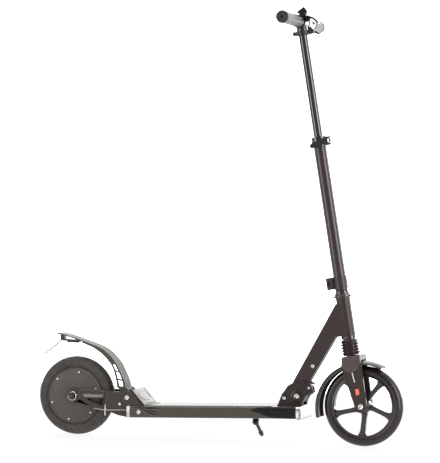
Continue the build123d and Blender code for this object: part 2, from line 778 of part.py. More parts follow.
with BuildPart() as t_clamp:
    with BuildSketch(sec(1034)):
        Circle(17.2)
        with Locations((17, 0)):
            Rectangle(16, 12)
        Circle(14.2, mode=Mode.SUBTRACT)
        with Locations((24, 0)):
            Rectangle(20, 2.0, mode=Mode.SUBTRACT)
    extrude(amount=2)
    with BuildSketch(sec(1036)):
        Circle(17.2)
        with Locations((21, 0)):
            RectangleRounded(18, 12, 2)
        Circle(14.2, mode=Mode.SUBTRACT)
        with Locations((24, 0)):
            Rectangle(20, 2.0, mode=Mode.SUBTRACT)
    extrude(amount=9)
    # thumb knob at the back
    with BuildSketch(Plane(origin=sec(1041).origin, x_dir=(0, 1, 0), z_dir=(-cs, 0, -ss)).offset(16.5)):
        Circle(2.5)
    extrude(amount=3)
    with BuildSketch(Plane(origin=sec(1041).origin, x_dir=(0, 1, 0), z_dir=(-cs, 0, -ss)).offset(18.5)):
        RegularPolygon(5.6, 8)
    extrude(amount=6)

# display unit: clamp ring on the right arm of the T and a tilted box above it
BOX_U, BOX_S, BOX_A = 15.0, 1093.65, 26.1
TH_U, TH_S = 27.5, 1070.0
with BuildPart() as display_unit:
    with BuildSketch(stemside(-2)):
        with BuildLine():
            FilletPolyline((4.5, 1088.5), (25.5, 1098.8), (32.3, 1085), (17.5, 1076), (11, 1081), close=True, radius=1.5)
        make_face()
    extrude(amount=50)
    with BuildSketch(stemside(-15)):
        with Locations((0, BAR_S)):
            Circle(17.2)
        with BuildLine():
            Polyline((4, 1080), (10, 1089), (24, 1084), (16, 1068), close=True)
        make_face()
        with Locations((0, BAR_S)):
            Circle(14.2, mode=Mode.SUBTRACT)
    extrude(amount=6.5)
    # pivot barrel of the throttle, carried by an arm from the clamp ring
    with BuildSketch(stemside(-15)):
        with Locations((TH_U, TH_S)):
            Circle(6.5)
        with BuildLine():
            Polyline((14, 1064), (14, 1075), (27, 1076.5), (27, 1063.5), close=True)
        make_face()
        with Locations((0, BAR_S)):
            Circle(16, mode=Mode.SUBTRACT)
    extrude(amount=6.5)
    with BuildSketch(stemside(-21.5)):
        with Locations((TH_U, TH_S)):
            Circle(2.0)
    extrude(amount=17)
    # pocket for the power button
    with BuildSketch(Plane(origin=stemside(-40).from_local_coords((BOX_U, BOX_S, 0)), x_dir=(0, 1, 0),
                           z_dir=(-sin(radians(BOX_A + STEM_TILT)), 0, cos(radians(BOX_A + STEM_TILT)))).offset(-4)):
        Circle(4.6)
    extrude(amount=8, mode=Mode.SUBTRACT)

with BuildPart() as power_button:
    with BuildSketch(Plane(origin=stemside(-40).from_local_coords((BOX_U, BOX_S, 0)), x_dir=(0, 1, 0),
                           z_dir=(-sin(radians(BOX_A + STEM_TILT)), 0, cos(radians(BOX_A + STEM_TILT)))).offset(-2.7)):
        Circle(4.2)
    extrude(amount=4.2)

with BuildPart() as throttle_lever:
    with BuildSketch(stemside(-21.9)):
        with Locations((TH_U, TH_S)):
            Circle(7.0)
        with BuildLine():
            Polyline((30, 1075.5), (40, 1072), (50, 1061), (52.5, 1054), (49.5, 1053), (46.5, 1059), (38, 1067.5), (28, 1071), close=True)
        make_face()
        with Locations((TH_U, TH_S)):
            Circle(2.06, mode=Mode.SUBTRACT)
    extrude(amount=16)

# left brake perch with thumb lever
with BuildPart() as brake_perch:
    with BuildSketch(barsec(92)):
        Circle(15.2)
        Circle(11.1, mode=Mode.SUBTRACT)
    extrude(amount=58)
    with BuildSketch(barsec(74)):
        with BuildLine():
            Polyline((8, -12.6), (15, -16), (15, -25), (9, -27), (4, -25), (2, -15), close=True)
        make_face()
        with Locations((9.5, -21)):
            Circle(2.0, mode=Mode.SUBTRACT)
    extrude(amount=5)
    with BuildSketch(barsec(55)):
        with BuildLine():
            Polyline((8, -12.6), (15, -16), (15, -25), (9, -27), (4, -25), (2, -15), close=True)
        make_face()
        with Locations((9.5, -21)):
            Circle(2.0, mode=Mode.SUBTRACT)
    extrude(amount=5)
    with BuildSketch(barsec(74)):
        with Locations((9.5, -21)):
            Circle(2.0)
    extrude(amount=24)
    with BuildSketch(Plane(origin=barsec(63).origin, x_dir=(0, 1, 0), z_dir=(cs, 0, ss)).offset(12.6)):
        SlotOverall(36, 6.5)
    extrude(amount=6, mode=Mode.SUBTRACT)

with BuildPart() as brake_lever:
    with BuildSketch(barsec(68.6)):
        with Locations((9.5, -21)):
            Circle(4.2)
        with BuildLine():
            Polyline((8, -17.5), (14, -18.5), (24, -24), (30, -31), (28, -33.5), (19, -28), (9, -25), close=True)
        make_face()
        with Locations((9.5, -21)):
            Circle(2.06, mode=Mode.SUBTRACT)
    extrude(amount=13.2)

with BuildPart() as right_bar:
    with BuildSketch(barsec(-8.0)):
        Circle(11.1)
        Circle(8.6, mode=Mode.SUBTRACT)
    extrude(amount=178)
    with BuildSketch(sec(BAR_S - 14)):
        with Locations((0, -26.0)):
            Circle(3.06)
    extrude(amount=8, mode=Mode.SUBTRACT)

with BuildPart() as left_bar:
    with BuildSketch(barsec(186.0)):
        Circle(11.1)
        Circle(8.6, mode=Mode.SUBTRACT)
    extrude(amount=178)
    with BuildSketch(sec(BAR_S - 14)):
        with Locations((0, 26.0)):
            Circle(3.06)
    extrude(amount=8, mode=Mode.SUBTRACT)

RIBS = 14
with BuildPart() as right_grip:
    with BuildSketch(barsec(-32)):
        Circle(15.2)
        with PolarLocations(15.2, RIBS):
            Circle(0.9, mode=Mode.SUBTRACT)
        Circle(11.1, mode=Mode.SUBTRACT)
    extrude(amount=150)
    with BuildSketch(barsec(-182)):
        Circle(16.0)
        Circle(11.1, mode=Mode.SUBTRACT)
    extrude(amount=4)
    with BuildSketch(barsec(-186)):
        Circle(16.0)
        Circle(2.4, mode=Mode.SUBTRACT)
    extrude(amount=4)

with BuildPart() as left_grip:
    with BuildSketch(barsec(182)):
        Circle(15.2)
        with PolarLocations(15.2, RIBS):
            Circle(0.9, mode=Mode.SUBTRACT)
        Circle(11.1, mode=Mode.SUBTRACT)
    extrude(amount=88)
    with BuildSketch(barsec(186)):
        Circle(16.0)
        Circle(11.1, mode=Mode.SUBTRACT)
    extrude(amount=4)
    with BuildSketch(barsec(190)):
        Circle(16.0)
        Circle(2.4, mode=Mode.SUBTRACT)
    extrude(amount=4)

with BuildPart() as right_snap_button:
    with BuildSketch(sec(BAR_S - 14.5)):
        with Locations((0, -26.0)):
            Circle(3.0)
    extrude(amount=7)

with BuildPart() as left_snap_button:
    with BuildSketch(sec(BAR_S - 14.5)):
        with Locations((0, 26.0)):
            Circle(3.0)
    extrude(amount=7)

# ================================================================ export, one STEP per piece
NODES = {
    "deck_extrusion": deck_extrusion, "grip_tape": grip_tape, "front_end_cap": front_end_cap,
    "folding_bracket": folding_bracket, "bracket_bolts": bracket_bolts, "rear_bracket": rear_bracket,
    "rear_arms": rear_arms, "heel_plate": heel_plate, "fender_pivot_pin": fender_pivot_pin,
    "frame_screws": frame_screws, "battery_pack": battery_pack, "motor_controller": motor_controller,
    "charge_port": charge_port, "kickstand_mount": kickstand_mount, "kickstand_leg": kickstand_leg,
    "motor_axle": motor_axle, "motor_stator": motor_stator,
    "motor_shell": motor_shell, "motor_covers": motor_covers, "hub_bearings": hub_bearings,
    "cover_screws": cover_screws, "rear_tyre": rear_tyre, "axle_nuts": axle_nuts,
    "rear_fender": rear_fender, "brake_pad": brake_pad, "mudflap": mudflap,
    "neck_tube": neck_tube, "neck_screws": neck_screws, "head_tube": head_tube, "headset_cups": headset_cups,
    "latch_lever": latch_lever, "lower_stem": lower_stem, "headset_nut": headset_nut,
    "grip_holder": grip_holder, "height_clamp": height_clamp, "clamp_bolt": clamp_bolt,
    "clamp_lever": clamp_lever, "fork": fork, "front_fender": front_fender,
    "fork_reflectors": fork_reflectors, "front_axle": front_axle, "suspension_spring": suspension_spring,
    "suspension_boot": suspension_boot, "front_rim": front_rim, "front_tyre": front_tyre,
    "front_bearings": front_bearings, "upper_stem": upper_stem, "t_joint": t_joint, "t_clamp": t_clamp,
    "display_unit": display_unit, "power_button": power_button, "throttle_lever": throttle_lever,
    "brake_perch": brake_perch, "brake_lever": brake_lever, "right_bar": right_bar, "left_bar": left_bar,
    "right_grip": right_grip, "left_grip": left_grip,
    "right_snap_button": right_snap_button, "left_snap_button": left_snap_button,
}
print("nodes", len(NODES))
for nm, node in NODES.items():
    node.part.label = nm
    export_step(node.part, "parts/" + nm + ".step")
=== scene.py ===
import math

import bmesh
import bpy
from mathutils import Matrix, Vector


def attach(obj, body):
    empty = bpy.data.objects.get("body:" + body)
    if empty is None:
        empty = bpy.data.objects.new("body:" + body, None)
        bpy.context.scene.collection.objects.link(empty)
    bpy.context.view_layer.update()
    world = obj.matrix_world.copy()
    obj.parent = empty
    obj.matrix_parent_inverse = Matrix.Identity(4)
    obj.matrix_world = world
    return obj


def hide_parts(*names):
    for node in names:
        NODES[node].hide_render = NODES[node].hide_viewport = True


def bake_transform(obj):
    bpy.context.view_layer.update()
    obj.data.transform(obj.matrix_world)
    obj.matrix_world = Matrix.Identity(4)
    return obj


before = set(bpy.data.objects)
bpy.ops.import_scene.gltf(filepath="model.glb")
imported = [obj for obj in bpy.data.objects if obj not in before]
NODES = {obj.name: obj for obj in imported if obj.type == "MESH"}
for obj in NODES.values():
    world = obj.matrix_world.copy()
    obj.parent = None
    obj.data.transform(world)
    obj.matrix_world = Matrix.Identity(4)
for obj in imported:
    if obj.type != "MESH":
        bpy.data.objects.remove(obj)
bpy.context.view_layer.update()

# ------------------------------------------------------------------ frames (mm in, metres out)
T = math.radians(9.86)
CS, SS = math.cos(T), math.sin(T)
D = math.radians(1.8)
CD, SD = math.cos(D), math.sin(D)
XR, WB = -375.5, 751.0
X, Y, Z = Vector((1, 0, 0)), Vector((0, 1, 0)), Vector((0, 0, 1))
U, S = Vector((CS, 0, SS)), Vector((-SS, 0, CS))
DX, DN = Vector((CD, 0, SD)), Vector((-SD, 0, CD))


def axes(o, a, b, c):
    """Matrix from local mm to metres: origin o in mm, local axes a, b, c."""
    m = Matrix(((a.x, b.x, c.x, o[0]), (a.y, b.y, c.y, o[1]), (a.z, b.z, c.z, o[2]), (0, 0, 0, 1)))
    return Matrix.Scale(0.001, 4) @ m


STEM0 = (XR + 756.4, 0, 0)


def stem_pt(u, s, y=0.0):
    """Point in mm from steering-axis coordinates."""
    return Vector((STEM0[0] - s * SS + u * CS, y, s * CS + u * SS))


SIDE = axes((XR, 0, 0), X, Z, Y)            # local (x from the rear axle, z, y)
DECK = axes((XR + 152, 0, 67), DX, DN, Y)   # local (along the deck, above its mid-line, y)
STEM = axes(STEM0, U, S, Y)                 # local (forward of the axis, up it, y)
STEM_AX = axes(STEM0, U, Y, S)              # for turned parts round the steering axis
BAR_AX = axes(stem_pt(0, 1068), S, U, Y)    # for turned parts round the handlebar
RW_AX = axes((XR, 0, 100), Z, X, Y)         # round the rear axle
FW_AX = axes((XR + WB, 0, 100), Z, X, Y)    # round the front axle


# ------------------------------------------------------------------ mesh helpers
def put(bm, verts, faces, m):
    vs = [bm.verts.new(m @ Vector(v)) for v in verts]
    for f in faces:
        if len(set(f)) > 2:
            try:
                bm.faces.new([vs[i] for i in f])
            except ValueError:
                pass
    return vs


def lathe(bm, prof, m, n=64, closed=True):
    """Turns a profile of (radius, height) about the local z axis. Points with radius 0 close it."""
    verts, rows = [], []
    for r, t in prof:
        if r < 1e-6:
            verts.append((0, 0, t))
            rows.append([len(verts) - 1] * n)
        else:
            rows.append(list(range(len(verts), len(verts) + n)))
            verts += [(r * math.cos(2 * math.pi * k / n), r * math.sin(2 * math.pi * k / n), t) for k in range(n)]
    faces = []
    pairs = list(zip(rows, rows[1:])) + ([(rows[-1], rows[0])] if closed else [])
    for a, b in pairs:
        for k in range(n):
            q = [a[k], a[(k + 1) % n], b[(k + 1) % n], b[k]]
            q = [v for i, v in enumerate(q) if v not in q[:i]]
            if len(q) > 2:
                faces.append(q)
    return put(bm, verts, faces, m)


def prism(bm, outline, z0, z1, m):
    """Closed outline of (a, b), between local z0 and z1."""
    n = len(outline)
    verts = [(a, b, z0) for a, b in outline] + [(a, b, z1) for a, b in outline]
    faces = [list(range(n))[::-1], [n + i for i in range(n)]]
    faces += [[i, (i + 1) % n, n + (i + 1) % n, n + i] for i in range(n)]
    return put(bm, verts, faces, m)


def plate(bm, outline, holes, z0, z1, m):
    """Closed outline with holes, between local z0 and z1; the caps are filled round the holes."""
    from mathutils.geometry import tessellate_polygon
    loops = [outline] + holes
    flat = [p for lp in loops for p in lp]
    tris = tessellate_polygon([[Vector((a, b, 0)) for a, b in lp] for lp in loops])
    n = len(flat)
    verts = [(a, b, z0) for a, b in flat] + [(a, b, z1) for a, b in flat]
    faces = [list(t)[::-1] for t in tris] + [[n + i for i in t] for t in tris]
    o = 0
    for lp in loops:
        k = len(lp)
        faces += [[o + i, o + (i + 1) % k, n + o + (i + 1) % k, n + o + i] for i in range(k)]
        o += k
    return put(bm, verts, faces, m)


def ring_pts(c, r, n=32, a0=0.0):
    return [(c[0] + r * math.cos(a0 + 2 * math.pi * k / n), c[1] + r * math.sin(a0 + 2 * math.pi * k / n)) for k in range(n)]


def tube(bm, path, r, m, n=12, closed_ends=True):
    """Round bar along a path of local points, radius r or a list of radii."""
    pts = [Vector(p) for p in path]
    rs = r if isinstance(r, (list, tuple)) else [r] * len(pts)
    t = (pts[1] - pts[0]).normalized()
    nrm = t.orthogonal().normalized()
    verts, rows = [], []
    for i, p in enumerate(pts):
        d = (pts[min(i + 1, len(pts) - 1)] - pts[max(i - 1, 0)]).normalized()
        nrm = (nrm - d * nrm.dot(d)).normalized()
        b = d.cross(nrm)
        rows.append(list(range(len(verts), len(verts) + n)))
        verts += [tuple(p + (nrm * math.cos(2 * math.pi * k / n) + b * math.sin(2 * math.pi * k / n)) * rs[i]) for k in range(n)]
    faces = []
    for a, b in zip(rows, rows[1:]):
        faces += [[a[k], a[(k + 1) % n], b[(k + 1) % n], b[k]] for k in range(n)]
    if closed_ends:
        faces += [rows[0][::-1], rows[-1]]
    return put(bm, verts, faces, m)


def rounded(points, r, n=5):
    """Polygon with its corners rounded to radius r, or to (x, y, r) of a point's own."""
    out = []
    k = len(points)
    for i, p in enumerate(points):
        rr = p[2] if len(p) > 2 else r
        a, b, c = Vector(points[i - 1][:2]), Vector(p[:2]), Vector(points[(i + 1) % k][:2])
        u, v = (a - b), (c - b)
        lu, lv = u.length, v.length
        u.normalize(), v.normalize()
        ang = u.angle(v)
        if rr < 1e-6 or ang > math.radians(178):
            out.append((b.x, b.y))
            continue
        d = min(rr / math.tan(ang / 2), lu * 0.48, lv * 0.48)
        rr = d * math.tan(ang / 2)
        cen = b + (u + v).normalized() * (rr / math.sin(ang / 2))
        p0, p1 = b + u * d, b + v * d
        a0 = math.atan2(p0.y - cen.y, p0.x - cen.x)
        a1 = math.atan2(p1.y - cen.y, p1.x - cen.x)
        da = (a1 - a0 + math.pi) % (2 * math.pi) - math.pi
        out += [(cen.x + rr * math.cos(a0 + da * j / n), cen.y + rr * math.sin(a0 + da * j / n)) for j in range(n + 1)]
    return out


def smooth_curve(pts, n=8):
    """Catmull-Rom through the points, n steps a span, ends kept."""
    ps = [Vector(p) for p in pts]
    ps = [ps[0] * 2 - ps[1]] + ps + [ps[-1] * 2 - ps[-2]]
    out = []
    for i in range(1, len(ps) - 2):
        for k in range(n):
            t = k / n
            a, b, c, d = ps[i - 1], ps[i], ps[i + 1], ps[i + 2]
            out.append(0.5 * ((2 * b) + (c - a) * t + (2 * a - 5 * b + 4 * c - d) * t * t + (3 * b - a - 3 * c + d) * t ** 3))
    out.append(ps[-2])
    return out


def bolt_head(bm, m, c, y, out, r, h, hexr=0.0, n=36):
    """Domed screw head centred at local (c), seated at y and standing out by h along out (+1 or -1 in y)."""
    prof = [(r, 0.0), (r, 0.28 * h), (0.94 * r, 0.55 * h), (0.80 * r, 0.84 * h), (0.60 * r, h), (hexr + 0.12 * r, h)]
    mm = m @ Matrix.Translation((c[0], c[1], y))
    verts, rows = [], []
    for rr, t in prof:
        rows.append(list(range(len(verts), len(verts) + n)))
        verts += [(rr * math.cos(2 * math.pi * k / n), rr * math.sin(2 * math.pi * k / n), out * t) for k in range(n)]

    def hexat(k, rr):
        a = (2 * math.pi * k / n + math.pi / 6) % (math.pi / 3) - math.pi / 6
        return rr * math.cos(math.pi / 6) / math.cos(a)
    for t in (h - 0.08 * r, 0.30 * h):
        rows.append(list(range(len(verts), len(verts) + n)))
        verts += [(hexat(k, hexr) * math.cos(2 * math.pi * k / n), hexat(k, hexr) * math.sin(2 * math.pi * k / n), out * t) for k in range(n)]
    verts.append((0, 0, out * 0.2 * h))
    tip = len(verts) - 1
    verts.append((0, 0, 0))
    base = len(verts) - 1
    faces = []
    for a, b in zip(rows, rows[1:]):
        faces += [[a[k], a[(k + 1) % n], b[(k + 1) % n], b[k]] for k in range(n)]
    faces += [[rows[-1][k], rows[-1][(k + 1) % n], tip] for k in range(n)]
    faces += [[rows[0][(k + 1) % n], rows[0][k], base] for k in range(n)]
    put(bm, verts, faces, mm)


def hex_nut(bm, m, c, y, out, r, h, hole=0.0, n=36):
    """Chamfered hexagon nut or head of corner radius r."""
    mm = m @ Matrix.Translation((c[0], c[1], y))

    def hexat(k, rr):
        a = (2 * math.pi * k / n + math.pi / 6) % (math.pi / 3) - math.pi / 6
        return rr * math.cos(math.pi / 6) / math.cos(a)
    rows, verts = [], []
    for kind, rr, t in (("h", r, 0), ("h", r, 0.80 * h), ("m", r, 0.93 * h), ("c", 0.84 * r, h)):
        rows.append(list(range(len(verts), len(verts) + n)))
        for k in range(n):
            q = hexat(k, rr)
            q = min(q, 0.93 * r) if kind == "m" else (rr if kind == "c" else q)
            verts.append((q * math.cos(2 * math.pi * k / n), q * math.sin(2 * math.pi * k / n), out * t))
    if hole:
        for rr, t in ((hole, h), (hole, 0)):
            rows.append(list(range(len(verts), len(verts) + n)))
            verts += [(rr * math.cos(2 * math.pi * k / n), rr * math.sin(2 * math.pi * k / n), out * t) for k in range(n)]
        pairs = list(zip(rows, rows[1:])) + [(rows[-1], rows[0])]
    else:
        pairs = list(zip(rows, rows[1:]))
    faces = []
    for a, b in pairs:
        faces += [[a[k], a[(k + 1) % n], b[(k + 1) % n], b[k]] for k in range(n)]
    if not hole:
        faces += [rows[-1], rows[0][::-1]]
    put(bm, verts, faces, mm)


def rod(bm, m, c, y0, y1, r, n=36, ch=0.3):
    """Plain shaft along local z with small chamfers."""
    lathe(bm, [(0, y0), (r - ch, y0), (r, y0 + ch * (1 if y1 > y0 else -1)), (r, y1 - ch * (1 if y1 > y0 else -1)), (r - ch, y1), (0, y1)],
          m @ Matrix.Translation((c[0], c[1], 0)), n, closed=False)


def finish_obj(name, bm, mat, body, replaces=(), bevel=0.0, angle=32, segs=2, sharp=35, ride=True):
    bmesh.ops.remove_doubles(bm, verts=bm.verts, dist=1e-7)
    bmesh.ops.recalc_face_normals(bm, faces=bm.faces)
    me = bpy.data.meshes.new(name)
    bm.to_mesh(me)
    bm.free()
    me.shade_smooth()
    me.set_sharp_from_angle(angle=math.radians(sharp if not bevel else 180))
    ob = bpy.data.objects.new(name, me)
    bpy.context.scene.collection.objects.link(ob)
    for mt in (mat if isinstance(mat, (list, tuple)) else [mat]):
        me.materials.append(mt)
    if bevel:
        add_bevel(ob, bevel, angle, segs)
    if ride:
        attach(ob, body)
    if replaces:
        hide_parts(*replaces)
    return ob


def add_bevel(ob, width, angle=32, segs=2, weld=False):
    if weld:
        w = ob.modifiers.new("weld", "WELD")
        w.merge_threshold = 1e-5
    b = ob.modifiers.new("edges", "BEVEL")
    b.width = width / 1000
    b.segments = segs
    b.limit_method = "ANGLE"
    b.angle_limit = math.radians(angle)
    b.harden_normals = True
    b.use_clamp_overlap = True
    b.miter_outer = "MITER_ARC"
    return b


# ------------------------------------------------------------------ materials
def pmat(name, base, rough, metal=0.0, spec=0.5, coat=0.0, coat_rough=0.08, var=0.12, vscale=60.0, rvar=0.06,
         bump=0.12, bscale=1400.0, dist=0.00008, edge=0.0, edge_r=0.0007, sheen=0.0, second=None, streak=None):
    """Paint, plastic, rubber or metal: broad colour and roughness variation, fine bump, optional worn light edges."""
    m = bpy.data.materials.new(name)
    m.use_nodes = True
    nt = m.node_tree
    nd, ln = nt.nodes, nt.links
    bs = nd["Principled BSDF"]
    bs.inputs["Roughness"].default_value = rough
    bs.inputs["Metallic"].default_value = metal
    bs.inputs["Specular IOR Level"].default_value = spec
    bs.inputs["Coat Weight"].default_value = coat
    bs.inputs["Coat Roughness"].default_value = coat_rough
    bs.inputs["Base Color"].default_value = (*base, 1)
    if sheen:
        bs.inputs["Sheen Weight"].default_value = sheen
        bs.inputs["Sheen Roughness"].default_value = 0.5
    tc = nd.new("ShaderNodeTexCoord")
    src = tc.outputs["Object"]
    if streak:
        mp = nd.new("ShaderNodeMapping")
        mp.inputs["Scale"].default_value = streak
        ln.new(src, mp.inputs["Vector"])
        src2 = mp.outputs["Vector"]
    else:
        src2 = src
    n1 = nd.new("ShaderNodeTexNoise")
    n1.inputs["Scale"].default_value = vscale
    n1.inputs["Detail"].default_value = 5
    n1.inputs["Roughness"].default_value = 0.6
    ln.new(src2, n1.inputs["Vector"])
    mix = nd.new("ShaderNodeMix")
    mix.data_type = "RGBA"
    lo = [max(0.0, c * (1 - var)) for c in base]
    hi = list(second) if second else [min(1.0, c * (1 + var)) for c in base]
    mix.inputs["A"].default_value = (*lo, 1)
    mix.inputs["B"].default_value = (*hi, 1)
    mr0 = nd.new("ShaderNodeMapRange")
    mr0.inputs["From Min"].default_value = 0.3
    mr0.inputs["From Max"].default_value = 0.7
    ln.new(n1.outputs["Fac"], mr0.inputs["Value"])
    ln.new(mr0.outputs["Result"], mix.inputs["Factor"])
    colour = mix.outputs["Result"]
    if edge:
        bv = nd.new("ShaderNodeBevel")
        bv.samples = 4
        bv.inputs["Radius"].default_value = edge_r
        ge = nd.new("ShaderNodeNewGeometry")
        dp = nd.new("ShaderNodeVectorMath")
        dp.operation = "DOT_PRODUCT"
        ln.new(bv.outputs["Normal"], dp.inputs[0])
        ln.new(ge.outputs["Normal"], dp.inputs[1])
        mr = nd.new("ShaderNodeMapRange")
        mr.inputs["From Min"].default_value = 0.99
        mr.inputs["From Max"].default_value = 0.80
        mr.inputs["To Max"].default_value = edge
        ln.new(dp.outputs["Value"], mr.inputs["Value"])
        mul = nd.new("ShaderNodeMath")
        mul.operation = "MULTIPLY"
        ln.new(mr.outputs["Result"], mul.inputs[0])
        ln.new(n1.outputs["Fac"], mul.inputs[1])
        mx = nd.new("ShaderNodeMix")
        mx.data_type = "RGBA"
        mx.inputs["B"].default_value = (*[min(1, c * 3 + 0.12) for c in base], 1)
        ln.new(mul.outputs["Value"], mx.inputs["Factor"])
        ln.new(colour, mx.inputs["A"])
        colour = mx.outputs["Result"]
    ln.new(colour, bs.inputs["Base Color"])
    if rvar:
        n3 = nd.new("ShaderNodeTexNoise")
        n3.inputs["Scale"].default_value = vscale * 2.3
        n3.inputs["Detail"].default_value = 4
        ln.new(src2, n3.inputs["Vector"])
        mr2 = nd.new("ShaderNodeMapRange")
        mr2.inputs["From Min"].default_value = 0.3
        mr2.inputs["From Max"].default_value = 0.7
        mr2.inputs["To Min"].default_value = max(0.02, rough - rvar)
        mr2.inputs["To Max"].default_value = min(1, rough + rvar)
        ln.new(n3.outputs["Fac"], mr2.inputs["Value"])
        ln.new(mr2.outputs["Result"], bs.inputs["Roughness"])
    if bump:
        n2 = nd.new("ShaderNodeTexNoise")
        n2.inputs["Scale"].default_value = bscale
        n2.inputs["Detail"].default_value = 3
        ln.new(src2, n2.inputs["Vector"])
        bp = nd.new("ShaderNodeBump")
        bp.inputs["Strength"].default_value = bump
        bp.inputs["Distance"].default_value = dist
        ln.new(n2.outputs["Fac"], bp.inputs["Height"])
        ln.new(bp.outputs["Normal"], bs.inputs["Normal"])
    return m


M = {}
M["satin"] = pmat("powder_coat_black", (0.026, 0.0145, 0.0128), 0.40, metal=0.0, spec=0.45, var=0.10, vscale=35, rvar=0.04, bump=0.35, bscale=2600, dist=0.00004, edge=0.7)
M["satin_dark"] = pmat("powder_coat_brown_black", (0.016, 0.008, 0.007), 0.34, spec=0.42, var=0.18, vscale=45, rvar=0.05, bump=0.3, bscale=2600, dist=0.00004, edge=0.7)
M["stem"] = pmat("stem_paint", (0.026, 0.016, 0.0145), 0.30, spec=0.55, coat=0.15, coat_rough=0.3, var=0.08, vscale=30, rvar=0.03, bump=0.15, bscale=2600, dist=0.00003, edge=0.5)
M["gloss"] = pmat("gloss_black", (0.020, 0.014, 0.013), 0.16, spec=0.7, coat=0.6, coat_rough=0.06, var=0.1, vscale=25, rvar=0.03, bump=0.04, bscale=900, dist=0.00004, edge=0.3)
M["tape"] = pmat("grip_mat", (0.090, 0.086, 0.078), 0.43, spec=0.45, var=0.10, vscale=900, rvar=0.02, bump=0.08, bscale=1500, dist=0.00005)
M["plastic"] = pmat("black_plastic", (0.024, 0.017, 0.016), 0.38, spec=0.5, var=0.1, vscale=50, rvar=0.05, bump=0.25, bscale=1800, dist=0.00005)
M["gplastic"] = pmat("gloss_plastic", (0.010, 0.006, 0.0055), 0.16, spec=0.6, coat=0.4, var=0.1, vscale=40, rvar=0.03, bump=0.03, bscale=700, dist=0.00005)
M["fender"] = pmat("fender_plastic", (0.072, 0.066, 0.056), 0.50, spec=0.16, coat=0.0, coat_rough=0.25, var=0.10, vscale=28, rvar=0.04, bump=0.10, bscale=1500, dist=0.00005)
M["ffender"] = pmat("front_fender_plastic", (0.034, 0.029, 0.026), 0.34, spec=0.5, coat=0.1, coat_rough=0.25, var=0.10, vscale=28, rvar=0.04, bump=0.10, bscale=1500, dist=0.00005)
M["grip"] = pmat("grip_rubber", (0.026, 0.023, 0.022), 0.42, spec=0.35, var=0.10, vscale=120, rvar=0.06, bump=0.35, bscale=1600, dist=0.00008, sheen=0.1)
M["boot"] = pmat("boot_rubber", (0.052, 0.032, 0.032), 0.28, spec=0.6, var=0.12, vscale=80, rvar=0.06, bump=0.2, bscale=1500, dist=0.00006)
M["tyre"] = pmat("tyre_rubber", (0.052, 0.046, 0.040), 0.62, spec=0.35, var=0.30, vscale=55, rvar=0.08, bump=0.6, bscale=900, dist=0.00012)
M["pu"] = pmat("front_tyre_rubber", (0.016, 0.010, 0.009), 0.30, spec=0.5, var=0.15, vscale=30, rvar=0.06, bump=0.2, bscale=1300, dist=0.00006)
M["cover"] = pmat("motor_cover_paint", (0.066, 0.056, 0.052), 0.50, spec=0.4, var=0.08, vscale=25, rvar=0.04, bump=0.35, bscale=2400, dist=0.00004, edge=0.3)
M["steel"] = pmat("zinc_steel", (0.62, 0.60, 0.57), 0.24, metal=1.0, var=0.10, vscale=200, rvar=0.08, bump=0.1, bscale=2500, dist=0.00003)
M["alu"] = pmat("bare_aluminium", (0.62, 0.60, 0.57), 0.36, metal=0.85, var=0.06, vscale=90, rvar=0.06, bump=0.2, bscale=1800, dist=0.00004, streak=(1, 1, 6))
M["copper"] = pmat("windings", (0.45, 0.16, 0.06), 0.35, metal=0.8, var=0.3, vscale=300, bump=0.6, bscale=900, dist=0.0002)
M["pack"] = pmat("shrink_wrap", (0.03, 0.12, 0.35), 0.3, var=0.15, vscale=60, bump=0.4, bscale=250, dist=0.0003)
M["decksat"] = pmat("deck_paint", (0.050, 0.041, 0.028), 0.27, spec=0.5, var=0.06, vscale=30, rvar=0.02, bump=0.04, bscale=2600, dist=0.00002, edge=0.4)
M["oxide"] = pmat("black_oxide", (0.05, 0.048, 0.046), 0.32, metal=0.8, var=0.15, vscale=150, rvar=0.06, bump=0.1, bscale=2000, dist=0.00003, edge=0.6)
# light grey of the arm bars: painted light, standing in for the lit upper face of the black arms
M["armgrey"] = pmat("arm_bar_painted_light", (0.150, 0.135, 0.125), 0.38, spec=0.6, var=0.10, vscale=45, rvar=0.05, bump=0.3, bscale=2400, dist=0.00004, edge=0.4)
# light grey of the heel pad: painted light for the lit face of the heel plate
M["heel"] = pmat("heel_pad_painted_light", (0.100, 0.092, 0.080), 0.36, spec=0.6, var=0.10, vscale=45, rvar=0.03, bump=0.2, bscale=2400, dist=0.00003, edge=0.4)
# lighter copy of the fork paint for the cheek bosses: painted light for the lit crown
M["crown"] = pmat("fork_crown_painted_light", (0.062, 0.046, 0.042), 0.42, spec=0.5, var=0.10, vscale=35, rvar=0.04, bump=0.3, bscale=2600, dist=0.00004, edge=0.6)
M["capalu"] = pmat("polished_aluminium", (0.92, 0.89, 0.88), 0.22, metal=1.0, var=0.04, vscale=90, rvar=0.05, bump=0.08, bscale=1800, dist=0.00003)
M["liplight"] = pmat("light_grey_plastic", (0.50, 0.48, 0.47), 0.4, var=0.06, vscale=60, rvar=0.05, bump=0.1, bscale=1500, dist=0.00004)
M["decal"] = pmat("decal_black", (0.0035, 0.003, 0.003), 0.32, spec=0.28, coat=0.0, var=0.1, vscale=50, rvar=0.03, bump=0.03, bscale=900, dist=0.00003)
# light lines under the wave stripes: painted glare, not print
M["glare"] = pmat("painted_glare_line", (0.16, 0.16, 0.15), 0.3, spec=0.5, var=0.08, vscale=60, rvar=0.04, bump=0.05, bscale=900, dist=0.00003)


